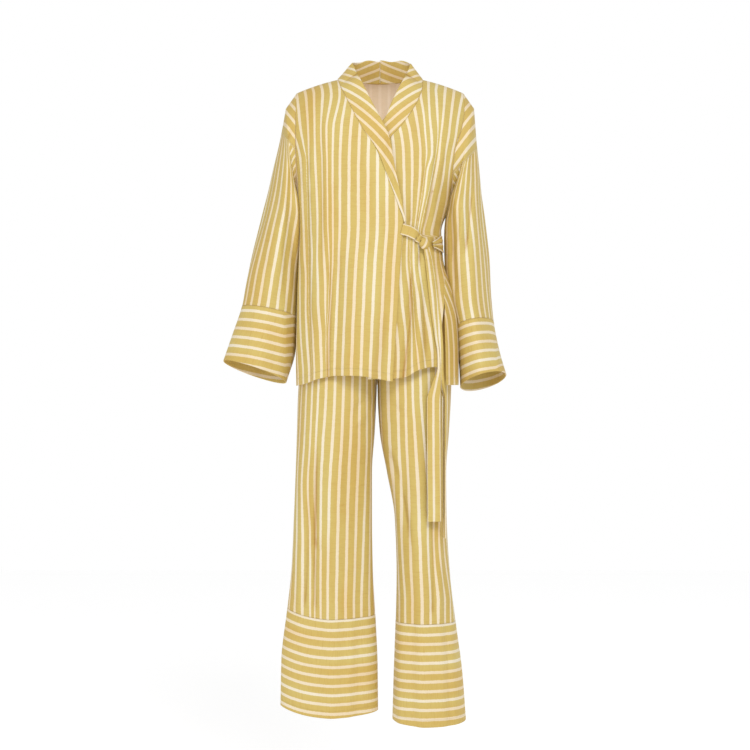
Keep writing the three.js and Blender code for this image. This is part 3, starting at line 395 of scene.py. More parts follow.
# %% Hems and wrap edges
HEM_RIGHT = table("""
x     rise
-200  -3
-183  -2
-95   20
-60   20
30     7
""")
HEM_LEFT = table("""
x     rise
-60   12
28    14
55    18
84    33
119   39
134   33
""")
EDGE_RIGHT = table("""
height  x
4      -93
-18    -86
-53    -70
-84    -55
-121   -35
-156   -11
-227    18
-286    40
-317    50
-345    48
-667    27
""")
EDGE_LEFT = table("""
height  x
4       93
-18     92
-51     82
-84     64
-112    44
-134    24
-227   -18
-286   -40
-317   -50
-345   -48
-667   -27
""")
print("wrap edges at the tie", EDGE_RIGHT["x"][-2], EDGE_LEFT["x"][-2])

# %% The free edge of the collar
COLLAR_RIGHT = table("""
seam   x     z    stand
4     -60    42   -4
-18   -48     8   30
-53   -32   -26   14
-84   -17   -58    6
-121    2   -95    3
-156   18  -130    2
-227   33  -207    1.5
-286   47  -275    1
-320   55  -316    0.5
""")
COLLAR_LEFT = table("""
seam   x     z    stand
4      67    42   -4
-18    54     3   26
-51    40   -24   12
-84    25   -57    5
-112   10   -92    0.5
-134   -6  -112    0
-227  -33  -207    0
-286  -47  -275    0
-320  -55  -316    0
""")
below_tie = EDGE_RIGHT["height"] < COLLAR_RIGHT["z"][-1]
cover = curve({"height": np.concatenate([COLLAR_RIGHT["z"], EDGE_RIGHT["height"][below_tie]]),
               "x": np.concatenate([COLLAR_RIGHT["x"], EDGE_RIGHT["x"][below_tie]])}, "height", "x")
print("the right side covers the left as far as", float(cover(-200)), "at the height of -200")

# %% Places on the torso
QUARTER = math.pi / 2
TORSO_SQUARE = 0.78
SHOULDER_REACH = 183
TOP_LEVEL, UNDERARM = 12, 6
SLIT_TOP, SLIT_OPEN = -480, 8.4
HEM_FADE = 190
SEAM_GAP = 0.3
HALVINGS = 30

torso = curves(TORSO, "level")
hem_right, hem_left = curve(HEM_RIGHT, "x", "rise"), curve(HEM_LEFT, "x", "rise")
edge_right, edge_left = curve(EDGE_RIGHT, "height", "x"), curve(EDGE_LEFT, "height", "x")


def torso_at(turn, level, hem=None):
    """turn is the way round: 0 is the middle of the front, a quarter turn the wearer's left."""
    turn, level = np.broadcast_arrays(turn, level)
    sine, cosine = np.sin(turn), np.cos(turn)
    side = np.where(sine < 0, -torso["right"](level), torso["left"](level))
    depth = np.where(cosine > 0, torso["front"](level), torso["back"](level))
    x = side * power(sine, TORSO_SQUARE)
    apart = SEAM_GAP / 2 * smooth(TOP_LEVEL - 1, TOP_LEVEL, level)
    y = depth * np.abs(cosine) ** TORSO_SQUARE - np.sign(cosine) * apart
    reach = (x / SHOULDER_REACH) ** 2
    lift = np.where(cosine < 0, torso["lift"](level) * (1 - reach), 0)
    above = torso["height"](level) - TORSO["height"][0]
    rise = hem(x) * (1 - smooth(0, HEM_FADE, above)) if hem else 0
    return point(x, y, torso["height"](level) + lift + rise - torso["drop"](level) * reach)


def turn_at(x, level):
    side = np.where(x < 0, -torso["right"](level), torso["left"](level))
    return np.arcsin(power(np.clip(x / side, -1, 1), 1 / TORSO_SQUARE))


def turn_at_edge(edge, level):
    x = np.zeros(np.shape(level))
    for _ in range(HALVINGS):
        x = edge(torso["height"](level) - torso["drop"](level) * (x / SHOULDER_REACH) ** 2)
    return turn_at(x, level)


def halve(low, high, too_low, shape):
    """Halves an interval until it closes on the place searched for, for many places at once."""
    low, high = np.full(shape, float(low)), np.full(shape, float(high))
    for _ in range(HALVINGS):
        middle = (low + high) / 2
        below = too_low(middle)
        low, high = np.where(below, middle, low), np.where(below, high, middle)
    return (low + high) / 2


def level_at(x, z):
    return halve(0, TOP_LEVEL, lambda m: torso_at(turn_at(x, m), m)[..., 2] < z, np.shape(x))


def slit_at(level):
    share = (SLIT_TOP - torso["height"](level)) / (SLIT_TOP - TORSO["height"][0])
    return math.radians(SLIT_OPEN / 2) * np.clip(share, 0, 1)


def right_side(level):
    return np.where(level <= UNDERARM, -QUARTER, turn_at(torso["armRight"](level), level))


def left_side(level):
    armhole = turn_at(torso["armLeft"](level), level)
    return np.where(level <= UNDERARM, np.radians(torso["seam"](level)), armhole)


print("level of the chest", float(level_at(np.float64(0), np.float64(-160))))

# %% The three faces of the top
UNDER, UNDER_FROM, UNDER_REACH = 5, 6, 34
NECK_HALF, NECK_SCOOP = 93, 1.9


def left_base(turn, level):
    """The left front, which steps in under the right one where they overlap."""
    p = torso_at(turn, level, hem_left)
    past = p[..., 0] - cover(p[..., 2])
    under = UNDER * (1 - smooth(UNDER_FROM, UNDER_FROM + UNDER_REACH, past))
    return p + point(0 * under, under, 0 * under)


right_face = folded(lambda turn, level: torso_at(turn, level, hem_right), "torso")
left_face = folded(left_base, "torso")
back_face = folded(torso_at, "torso")


def front_right_place(u, at):
    level = np.clip(at, 0, TOP_LEVEL)
    return right_side(level) * (1 - u) + turn_at_edge(edge_right, level) * u, level


def front_left_place(u, at):
    level = np.clip(at, 0, TOP_LEVEL)
    return turn_at_edge(edge_left, level) * (1 - u) + (left_side(level) - slit_at(level)) * u, level


def front_right(u, at):
    return right_face(*front_right_place(u, at))


def front_left(u, at):
    return left_face(*front_left_place(u, at))


def neck_scoop(x):
    return NECK_SCOOP * np.maximum(0, 1 - (x / NECK_HALF) ** 2)


def back_left(level):
    return np.where(level > UNDERARM, math.pi - left_side(level), left_side(level) + slit_at(level))


def back_place(u, at):
    spot = np.clip(at, 0, TOP_LEVEL)
    turn = back_left(spot) * (1 - u) + (math.pi - right_side(spot)) * u
    scoop = neck_scoop(torso_at(turn, TOP_LEVEL)[..., 0]) * smooth(UNDERARM, TOP_LEVEL, spot)
    return turn, spot - scoop


def back(u, at):
    return back_face(*back_place(u, at))


print("shoulder seam", front_right(np.array([0.0, 1.0]), np.full(2, 12.0)).round(1).tolist())

# %% [markdown]
# ## The form of the sleeves
# A sleeve is a wide tube that starts from the armhole and narrows a little to its cuff. Each
# section is given by its outer end, its underarm end and half its depth. The first ring is blended
# onto the armhole, so that the seam follows the panel's edge without a step.

# %% The sections of the sleeves
SLEEVES = {
    "right": table("""
ring outX outY outZ  inX    inY inZ  depth tilt
1    -206  -2   -60  -187    -2 -248  66    0
2    -219  -2  -128  -181     8 -258  71    0
3    -234  -2  -195  -177    12 -292  74    2
4    -252  -4  -280  -176.5  14 -338  70    4
5    -275  -6  -370  -179.5  14 -405  63    5
6    -292  -8  -440  -181    14 -467  57    6
7    -302 -10  -494  -183    12 -520  55    6
8    -322 -12  -554  -187     8 -590  57    7
9    -343 -14  -615  -207    -2 -662  61   10
"""),
    "left": table("""
ring outX outY outZ  inX  inY inZ  depth tilt
1    206   -2   -60  164   -2 -247  66    0
2    212   -2  -134  154    4 -257  72    0
3    218   -2  -196  147    8 -287  76    2
4    224   -6  -284  144.5 12 -338  77    4
5    234  -10  -382  147   14 -420  75    6
6    240  -12  -464  158   12 -490  73    8
7    246  -14  -524  172    6 -544  71    9
8    259  -16  -586  175    0 -610  73   12
9    276  -18  -645  177  -10 -673  76   17
"""),
}
CUFF_RING, SLEEVE_END = 7, 9
print("cuffs end at", {side: float(rows["outZ"][-1]) for side, rows in SLEEVES.items()})

# %% The seam round the armhole
CLOTH, DOUBLED, ELASTIC = 1.2, 2.0, 3.0
BELOW_TOP = TOP_LEVEL - 0.1


def start_off(seam, away, towards):
    """Where a piece sewn on at an angle starts: off the panel's edge as far as it stands up, or
    drawn back from it as far as it turns down."""
    leaving = unit(towards - seam)
    standing = (leaving * away).sum(-1, keepdims=True)
    lifted = away * standing * (DOUBLED / 2 + SEAM_GAP + CLOTH / 2)
    return seam + np.where(standing > 0, lifted, -leaving * standing * CLOTH / 2)


def armhole_at(side, level, front):
    turn = right_side(level) if side == "right" else left_side(level)
    front_face = right_face if side == "right" else left_face
    place = np.where(front, turn, math.pi - turn)
    away = facing(torso_at, place, np.minimum(level, BELOW_TOP))
    return np.where(front[..., None], front_face(place, level), back_face(place, level)), away


def armhole_height(level):
    return torso["height"](level) - torso["drop"](level)


def round_at(level):
    low, high = armhole_height(float(UNDERARM)), armhole_height(float(TOP_LEVEL))
    return np.arccos(1 - 2 * np.clip((armhole_height(level) - low) / (high - low), 0, 1))


def level_of(turn):
    half = np.where(turn > math.pi, 2 * math.pi - turn, turn)
    return halve(UNDERARM, TOP_LEVEL, lambda m: round_at(m) < half, np.shape(turn))


print("level half way up the armhole", float(level_of(np.float64(QUARTER))))

# %% The tube of a sleeve
SLEEVE_BEND, FACING_OUT = 4, (0.2, 0.7)


def sleeve(side):
    """turn is 0 at the underarm and half a turn at the outer edge; ring runs down the sleeve."""
    row = curves(SLEEVES[side], "ring")
    form = "sleeve" + side.capitalize()

    def surface(turn, ring):
        turn, ring = np.broadcast_arrays(np.asarray(turn, float), np.asarray(ring, float))
        turn = turn % (2 * math.pi)
        front = (side == "right") == (np.sin(turn) > 0)
        along = np.maximum(ring, 1)
        outer = point(*(row["out" + axis](along) for axis in "XYZ"))
        inner = point(*(row["in" + axis](along) for axis in "XYZ"))
        reach, middle = (outer - inner) / 2, (outer + inner) / 2
        bend = smooth(0, SLEEVE_BEND, ring)[..., None]
        down = np.array([OUTWARD[side], 0, -1.0]) * (1 - bend) + np.array([0, 0, -1.0]) * bend
        across = unit(np.cross(reach, down))
        sine, cosine = np.sin(turn)[..., None], np.cos(turn)[..., None]
        p = middle - reach * cosine + across * row["depth"](along)[..., None] * sine
        p[..., 2] -= across[..., 1] * sine[..., 0] * row["tilt"](along)
        x, y, z = p[..., 0], p[..., 1], p[..., 2]
        face = np.where(front, fold_at(form + "-front", x, z), fold_at(form + "-back", x, z))
        side_on = smooth(*FACING_OUT, -np.cos(turn)) * fold_at(form + "-outer", y, z)
        p = p + across * sine * face[..., None] + unit(reach) * side_on[..., None]
        seam, away = armhole_at(side, level_of(turn), front)
        start = start_off(seam, away, p)
        share = np.clip(ring, 0, 1)[..., None]
        return np.where(share < 1, start * (1 - share) + p * share, p)

    return surface


print("right cuff's corner", sleeve("right")(0.0, float(SLEEVE_END)).round(1).tolist())

# %% [markdown]
# ## The form of the collar
# The collar is one band that stands up behind the neck and runs down both edges to the tie. It is
# stretched between the seam it is sewn to and its free edge. For each height of the seam the
# tables give the place of the free edge, and how far it stands off the chest. Where the band
# stands up at the neck the seam starts a little off the panel, as a sewn band does, and its top
# edge waves a little.

# %% The collar band
COLLAR_STAND = table("""
at   z   stand
0    54  -47
0.5  51  -36
1    42  -4
""")
COLLAR_OVER, SHOULDER_HEIGHT = 5, 4.0
WAVE_UP, WAVE_UP_LONG, WAVE_OUT, WAVE_OUT_LONG = 1.6, 7.0, 2.2, 9.0
FRONTS = {"right": (front_right, right_face, 1.0), "left": (front_left, left_face, 0.0)}
neck_turn = float(turn_at(np.float64(NECK_HALF), np.float64(TOP_LEVEL)))


def collar(side):
    """u crosses the band. at is 0 at the middle of the back, 1 at the shoulder, then goes down."""
    row = curves(COLLAR_RIGHT if side == "right" else COLLAR_LEFT, "seam")
    stand = curves(COLLAR_STAND, "at")
    panel, face, edge = FRONTS[side]

    def on_back(at):
        turn = math.pi - OUTWARD[side] * neck_turn * at
        level = TOP_LEVEL - neck_scoop(torso_at(turn, TOP_LEVEL)[..., 0])
        away = facing(torso_at, turn, np.minimum(level, BELOW_TOP))
        x = row["x"](SHOULDER_HEIGHT) * np.sin(at * QUARTER)
        return back_face(turn, level), away, point(x, -stand["stand"](at), stand["z"](at))

    def on_front(at):
        level = TOP_LEVEL - (at - 1)
        edges = np.full(np.shape(at), edge)
        seam, away = panel(edges, level), facing(panel, edges, level)
        x, z = row["x"](seam[..., 2]), row["z"](seam[..., 2])
        chest_level = level_at(x, z)
        chest = face(turn_at(x, chest_level), chest_level)[..., 1]
        return seam, away, point(x, chest - row["stand"](seam[..., 2]), z)

    def surface(u, at):
        u, at = np.broadcast_arrays(np.asarray(u, float), np.asarray(at, float))
        behind = on_back(np.clip(at, 0, 1))
        ahead = on_front(np.maximum(at, 1 + 1e-6))
        seam, away, free = (np.where((at > 1)[..., None], a, b) for a, b in zip(ahead, behind))
        share = (1 - u if side == "right" else u)[..., None]
        start = start_off(seam, away, free)
        start[..., 2] -= COLLAR_OVER * (1 - smooth(0.7, 1.0, at))
        p = start * (1 - share) + free * share
        x, z = p[..., 0], p[..., 2]
        p[..., 1] -= np.sin(share[..., 0] * math.pi) * fold_at("collar-" + side, x, z)
        top = np.sin(share[..., 0] * QUARTER) * (1 - smooth(0.9, 1.1, at))
        p[..., 2] += top * WAVE_UP * np.sin(x / WAVE_UP_LONG + OUTWARD[side])
        p[..., 1] += top * WAVE_OUT * np.sin(x / WAVE_OUT_LONG)
        return p

    return surface


print("collar at the back", collar("right")(np.array([0.0, 1.0]), np.zeros(2)).round(1).tolist())

# %% [markdown]
# ## The form of the tie
# The right front's edge carries a strap to a knot at the wearer's left, where it meets a pleated
# strap from the side seam. Two free ends hang from the knot, lie on the left front and fall in
# front of the leg. The straps follow the front's own surface, so that they don't cut into its
# folds.

# %% The straps
TIE_STRAP = table("""
turn z    half out
14.5 -333 12   2.6
22   -338 12   3.4
29   -347 11   4.6
35.5 -357 8.5  6.6
""")
TIE_SIDE = table("""
turn z    half out
84   -360 18.5 2
73   -361 18.5 4
61   -363 13   5
48.5 -365 6    8.3
""")
PLEATS, STRAP_STEP = 3, 0.01


def level_of_height(z):
    return halve(0, UNDERARM, lambda m: torso["height"](m) < z, np.shape(z))


def strap(stations, pleat=0.0):
    """A strip that lies on the front. pleat is how far its lengthwise pleats stand up."""
    numbered = {"at": np.linspace(0, 1, len(stations["turn"])), **stations}
    row = curves(numbered, "at")

    def place(along):
        return np.radians(row["turn"](along)), level_of_height(row["z"](along))

    def middle(along):
        away = facing(right_face, *place(along))
        return right_face(*place(along)) + away * row["out"](along)[..., None]

    def surface(u, v):
        u, v = np.broadcast_arrays(np.asarray(u, float), np.asarray(v, float))
        along = np.clip(v, STRAP_STEP, 1 - STRAP_STEP)
        path = unit(middle(along + STRAP_STEP) - middle(along - STRAP_STEP))
        away = facing(right_face, *place(along))
        aside = unit(np.cross(path, away))
        sideways = row["half"](along) * (2 * u - 1)
        raised = pleat * np.sin(u * math.pi * 2 * PLEATS + 0.6) * smooth(-0.1, 0.5, along)
        return middle(np.clip(v, 0, 1)) + aside * sideways[..., None] + away * raised[..., None]

    return surface


print("strap reaches", strap(TIE_STRAP)(0.5, 1.0).round(1).tolist())

# %% The free ends
TAIL_FRONT = table("""
z      x     y      half yaw
-368   97    -104   6    36
-395   103   -104   8.5  30
-471   112   -104   9    24
-527   117   -107   7.5  30
-565   121   -109   6    44
-598   125   -110   5.5  54
-632   126   -110   6    50
-662   121   -104   10   20
-700   115   -98    15   10
-961   117   -87    15   12
""")
TAIL_BACK = table("""
z      x     y      half yaw
-370   103   -100   5    36
-395   110   -98    7    40
-471   120   -98    7    36
-527   125   -101   7    30
-565   128   -103   7    20
-598   129   -104   7    10
-632   129   -104   7    0
-662   131   -96    8   -40
-700   139   -85    11   -80
-997   138.5 -74    14   -80
""")
TAIL_LAID, TAIL_FREE = -630, -672
TAIL_START = (-400, -372)


def tail(stations, over):
    """A free end: it leaves the knot, lies a little over the front, and hangs clear of the leg."""
    row = curves(stations, "z")
    top, bottom = stations["z"].max(), stations["z"].min()

    def surface(u, v):
        z = top + (bottom - top) * v
        aside = row["half"](z) * (2 * u - 1)
        yaw = np.radians(row["yaw"](z))
        x, y = row["x"](z) - np.cos(yaw) * aside, row["y"](z) - np.sin(yaw) * aside
        level = level_at(x, np.maximum(z, TAIL_LAID))
        laid = left_face(turn_at(x, level), level)[..., 1] - over
        share = smooth(TAIL_FREE, TAIL_LAID, z) * (1 - smooth(*TAIL_START, z))
        return point(x, y + (laid - y) * share, z)

    return surface


print("the free ends hang to", TAIL_FRONT["z"].min(), TAIL_BACK["z"].min())

# %% The knot
KNOT = {"x": 95, "y": -105, "z": -363, "half_long": 12, "half_y": 8, "half_z": 12, "yaw": 38,
        "lean": 24, "pinch": 0.78}
# Each crease: its place along the knot, how far it slants, from which turn, how wide and how deep.
KNOT_CREASES = ((0, 0.25, 0, 0.16, 0.13), (-0.45, 0.2, QUARTER, 0.14, 0.08))


def knot(u, v):
    """A short tube of cloth, pinched in at both ends and drawn in by two slanting creases."""
    turn = u * 2 * math.pi
    along = 2 * v - 1
    pinch = 1 - KNOT["pinch"] * np.abs(along) ** 3
    crease = 1
    for at, swing, from_front, wide, deep in KNOT_CREASES:
        away = (along - at - swing * np.sin(turn + from_front)) / wide
        crease = crease - deep * np.exp(-away * away)
    long = KNOT["half_long"] * along
    out = -KNOT["half_y"] * np.cos(turn) * pinch * crease
    high = KNOT["half_z"] * np.sin(turn) * pinch * crease
    lean, yaw = math.radians(KNOT["lean"]), math.radians(KNOT["yaw"])
    flat = long * math.cos(lean) + high * math.sin(lean)
    rise = high * math.cos(lean) - long * math.sin(lean)
    return point(KNOT["x"] + flat * math.cos(yaw) - out * math.sin(yaw),
                 KNOT["y"] + flat * math.sin(yaw) + out * math.cos(yaw), KNOT["z"] + rise)


print("middle of the knot", knot(0.0, 0.5).round(1).tolist())

# %% [markdown]
# ## The form of the trousers
# Each leg is a ring at each level, from the hem (0) to the waist (12). Below the crotch it is a
# closed tube (hip 0). Above it, it is half of the hips (hip 1) and ends at the middle seam.
# Between the two it is a blend of both, which gives the curve of the crotch. riseOut and riseIn
# lift the sides of the hem.

# %% The sections of the legs
LEGS = {
    "right": table("""
level height outer inner front back riseOut riseIn hip
0  -1391 -218  -5    -50   52  21 10 0
1  -1290 -216  -6    -51   53  21  8 0
2  -1176 -203  -11   -52   55  19  5 0
3  -1080 -194  -16   -54   57  10  2 0
4   -960 -189  -18   -60   62   0  0 0
5   -860 -185  -18   -70   71   0  0 0
6   -770 -182  -12   -82   84   0  0 0
7   -700 -180  -8.5  -92   97   0  0 0
8   -664 -178  -7.2  -98  107   0  0 .02
9   -625 -174  -6.6 -103  116   0  0 .45
10  -560 -166  -5   -105  119   0  0 1
11  -470 -148  -2   -100  109   0  0 1
12  -400 -128   0    -94   97   0  0 1
"""),
    "left": table("""
level height outer inner front back riseOut riseIn hip
0  -1406  188   28   -76   80   5  6 0
1  -1300  180   31   -75   79   3  3 0
2  -1184  165   35   -72   77   0  0 0
3  -1080  153   37   -71   76   0  0 0
4   -960  146   33   -71   76   0  0 0
5   -860  145   16   -78   81   0  0 0
6   -770  151    0   -86   88   0  0 0
7   -700  155  -4.5  -93   98   0  0 0
8   -664  156  -5.4  -98  107   0  0 .02
9   -625  156  -6   -103  116   0  0 .45
10  -560  152  -5   -105  119   0  0 1
11  -470  138  -2   -100  109   0  0 1
12  -400  130.5 0    -94   97   0  0 1
"""),
}
print("leg hems at", {side: float(rows["height"][0]) for side, rows in LEGS.items()})

# %% A leg and the waistband
LEG_SQUARE, BAND_LEVEL, WAIST_LEVEL, WAISTBAND_HEIGHT = 0.9, 2, 12, 35


def leg(side):
    row, outward = curves(LEGS[side], "level"), OUTWARD[side]

    def base(turn, at):
        turn, at = np.broadcast_arrays(np.asarray(turn, float), np.asarray(at, float))
        level = np.clip(at, 0, WAIST_LEVEL)
        sine, cosine = np.sin(turn), np.cos(turn)
        outer = row["outer"](level)
        inner = row["inner"](level) + outward * SEAM_GAP / 2
        reach = power(sine, LEG_SQUARE)
        depth = np.where(cosine > 0, row["front"](level), row["back"](level))
        tube_x = (outer + inner) / 2 + np.abs(outer - inner) / 2 * reach
        tube_y = depth * np.abs(cosine) ** LEG_SQUARE
        away = np.arccos(np.clip(outward * sine, -1, 1)) / 2
        hip_x = inner + (outer - inner) * np.cos(away) ** LEG_SQUARE
        hip_y = depth * np.sin(away) ** LEG_SQUARE
        hip = row["hip"](level)
        rise = np.where(outward * reach > 0, row["riseOut"](level), row["riseIn"](level))
        return point(tube_x + (hip_x - tube_x) * hip, tube_y + (hip_y - tube_y) * hip,
                     row["height"](level) + rise * reach * reach)

    return folded(base, "leg" + side.capitalize())


def waistband(u, v):
    turn = u * 2 * math.pi
    sine, cosine = np.sin(turn), np.cos(turn)
    side = np.where(sine < 0, -LEGS["right"]["outer"][-1], LEGS["left"]["outer"][-1])
    depth = np.where(cosine > 0, LEGS["right"]["front"][-1], LEGS["right"]["back"][-1])
    return point(side * power(sine, LEG_SQUARE), depth * np.abs(cosine) ** LEG_SQUARE,
                 LEGS["right"]["height"][-1] + v * WAISTBAND_HEIGHT)


print("waist", [round(float(waistband(u, 0.0)[0])) for u in (0.25, 0.75)])

# %% [markdown]
# ## Lengths along the cloth
# A panel is laid out as a grid of points on its surface. Stripes keep their spacing along the
# cloth, not straight through the air, so their places are found by adding up the steps from point
# to point, over every fold. The rows are spread in the same way, so that no part of a panel is
# coarser than the rest.

# %% Grids and lengths
REPEAT = 20.3


def run_along(grid, axis):
    """The length of cloth from the first row or column of a grid to each of the others."""
    steps = length_of(np.diff(grid, axis=axis))[..., 0]
    return np.insert(np.cumsum(steps, axis), 0, 0, axis)


def closed(grid):
    """A grid that goes all the way round, with its first column once more at the end."""
    return np.concatenate([grid, grid[:, :1]], 1)


def spread(surface, v_low, v_high, rows, along=0.5, fine=400):
    """Levels between two that lie evenly spaced on the cloth, at one place across it."""
    dense = np.linspace(v_low, v_high, fine)
    run = run_along(surface(np.full(fine, along), dense), 0)
    return np.interp(np.linspace(0, run[-1], rows + 1), run, dense)


def grid_of(surface, us, vs):
    return surface(*np.meshgrid(us, vs))


def blur(values, passes):
    """Evens out a grid of values along its columns."""
    for _ in range(passes):
        padded = np.concatenate([values[:1], values, values[-1:]])
        values = (padded[:-2] + 2 * padded[1:-1] + padded[2:]) / 4
    return values


front_line = leg("right")(np.zeros(50), np.linspace(0, WAIST_LEVEL, 50))
print("hem to waist along the front of the leg", run_along(front_line, 0)[-1].round())

# %% [markdown]
# ## Stripes on a panel
# On the real set the cloth is woven flat, and its stripes bend with it. Each panel therefore
# carries a second set of places, those of the flat cloth, and the material draws straight stripes
# on that. Where the eye can follow the stripes they are set out one by one, and elsewhere one line
# and the spacing do.

# %% Places on the flat cloth
def laid_flat(across, along):
    """Cloth coordinates: the first number crosses the stripes, and the second follows them."""
    return np.stack(np.broadcast_arrays(across, along), -1)


def family(text):
    """A table of stripes: a row for each height, a column for each stripe's number. A pleat takes
    in the cloth between two numbers, so their columns close up to a millimetre along it."""
    lines = curves(table(text), "z")
    numbers = np.array([float(name) for name in lines]) * REPEAT
    return numbers, lambda z: np.array([line(z) for line in lines.values()])


def stripes_along(grid, read_at, families):
    """Follows stripes that are given one by one. A row takes the first family that reaches down to
    its height at the place read_at. Past the outer stripes the cloth lies flat."""
    run = run_along(grid, 1)
    cloth = np.empty(run.shape)
    for j, (length, x, z) in enumerate(zip(run, grid[..., 0], grid[..., 2])):
        height = z[np.abs(x - read_at).argmin()]
        numbers, places = next(stripes for lowest, stripes in families if height >= lowest)
        want = places(height)
        for _ in range(3):
            want = np.diagonal(places(np.interp(want, x, z)))
        at = np.interp(want, x, length)
        outside = np.minimum(length - at[0], 0) + np.maximum(length - at[-1], 0)
        cloth[j] = np.interp(length, at, numbers) + outside
    return laid_flat(cloth, run_along(grid, 0).mean(1)[:, None])


def stripes_down(grid, line, loop=False, passes=60):
    """Runs the stripes down the cloth. line(z) is where the middle of a white one passes."""
    grid = closed(grid) if loop else grid
    run = run_along(grid, 1)
    start = np.empty((len(grid), 1))
    for j, (row, x) in enumerate(zip(run, grid[..., 0])):
        want = line(grid[j, :, 2].mean())
        i = np.clip(np.abs(x - want).argmin(), 1, len(x) - 2)
        start[j] = row[i] + (want - x[i]) * (row[i + 1] - row[i - 1]) / (x[i + 1] - x[i - 1])
    return laid_flat(blur(run - start, passes), run_along(grid, 0).mean(1)[:, None])


print("one repeat of the stripes is", REPEAT, "mm")

# %% Stripes on whole rings and round bands
def ring_stripes(face, lines, turn_low, turn_high, turns, levels, fine=360):
    """Sets the stripes out on whole rings of the torso, and reads them off at a panel's own places.
    Its edges move sideways from ring to ring, and measured from them the stripes would jump."""
    rings = grid_of(face, np.linspace(turn_low, turn_high, fine), np.linspace(0, TOP_LEVEL, fine))
    if callable(lines):
        cloth = stripes_down(rings, lines, passes=90)
    else:
        cloth = stripes_along(rings, *lines)
    i = np.clip((turns - turn_low) / (turn_high - turn_low) * (fine - 1), 0, fine - 1.001)
    j = np.clip(levels / TOP_LEVEL * (fine - 1), 0, fine - 1.001)
    a, b = i.astype(int), j.astype(int)
    s, t = (i - a)[..., None], (j - b)[..., None]
    low = cloth[b, a] * (1 - s) + cloth[b, a + 1] * s
    high = cloth[b + 1, a] * (1 - s) + cloth[b + 1, a + 1] * s
    return low * (1 - t) + high * t


def stripes_round(grid, first, from_top=True):
    """Runs the stripes round a band. first is how far from its seam a white one lies."""
    grid = closed(grid)
    run = run_along(grid, 0)
    if from_top:
        run = run[-1:] - run
    return laid_flat(run - first, run_along(grid, 1).mean(0)[None])


print("stripes in the width of the back", round(2 * SHOULDER_REACH / REPEAT, 1))

# %% [markdown]
# ## From a surface to a sewn panel
# Cloth seen close up has a thickness and a soft edge. Each panel could be a single surface with a
# Solidify modifier, but then the edge would be square and both sides would share one finish. So
# the two faces are laid out here, with a rounded rim between them: the right side gets the striped
# material, and the wrong side its own. Each point also learns how deep in a fold it lies, which
# sets the painted fold shade, and how far from the hem, for the hem's stitches.

# %% Normals and hollows
EVENING, FOLD_FROM, FOLD_FULL = 12, 0.3, 3.2


def grid_normals(grid, loop):
    if loop:
        across = np.roll(grid, -1, 1) - np.roll(grid, 1, 1)
    else:
        across = np.gradient(grid, axis=1)
    return unit(np.cross(across, np.gradient(grid, axis=0)))


def even_out(grid, passes, loop):
    """Evens out the points of a grid both ways, until its folds are gone."""
    for _ in range(passes):
        grid = blur(grid, 1)
        if loop:
            grid = (np.roll(grid, 1, 1) + 2 * grid + np.roll(grid, -1, 1)) / 4
        else:
            grid = blur(grid.swapaxes(0, 1), 1).swapaxes(0, 1)
    return grid


def hollows(grid, away, loop):
    """From 0 on flat cloth and on ridges to 1 deep in a fold: how much painted shade a point gets.
    """
    depth = ((grid - even_out(grid, EVENING, loop)) * away).sum(-1)
    return smooth(FOLD_FROM, FOLD_FULL, -depth)


print("a fold counts as deep from", FOLD_FULL, "mm")

# %% Layers and faces
ROUNDING = 0.8


def panel_layers(grid, away, thickness, loop):
    """The right side, the wrong side, and the rim a little inside the panel's own edge."""
    down, across = unit(np.gradient(grid, axis=0)), unit(np.gradient(grid, axis=1))
    tuck = np.zeros_like(grid)
    tuck[0] += down[0]
    tuck[-1] -= down[-1]
    if not loop:
        tuck[:, 0] += across[:, 0]
        tuck[:, -1] -= across[:, -1]
    wall, drawn_in = away * thickness / 2, tuck * thickness / 2 * ROUNDING
    return grid + wall + drawn_in, grid - wall + drawn_in, grid + tuck * SEAM_GAP / 2


def panel_faces(rows, columns, loop):
    """Groups of faces. Each face has four corners, and a corner is a layer, a row and a column.
    First come the right side and the wrong side, then the two strips of the rim on every edge."""
    spans, ends = np.arange(columns if loop else columns - 1), np.arange(rows - 1)
    j, i = (number.ravel() for number in np.meshgrid(ends, spans, indexing="ij"))
    square = [(j, i), (j, i + 1), (j + 1, i + 1), (j + 1, i)]
    groups = [[(0, *corner) for corner in square], [(1, *corner) for corner in square[::-1]]]
    edges = [((0, spans + 1), (0, spans)), ((rows - 1, spans), (rows - 1, spans + 1))]
    if not loop:
        edges += [((ends, 0), (ends + 1, 0)), ((ends + 1, columns - 1), (ends, columns - 1))]
    for a, b in edges:
        groups += [[(0, *a), (0, *b), (2, *b), (2, *a)], [(2, *a), (2, *b), (1, *b), (1, *a)]]
    return groups


print("an open panel has", len(panel_faces(3, 3, False)), "groups of faces")

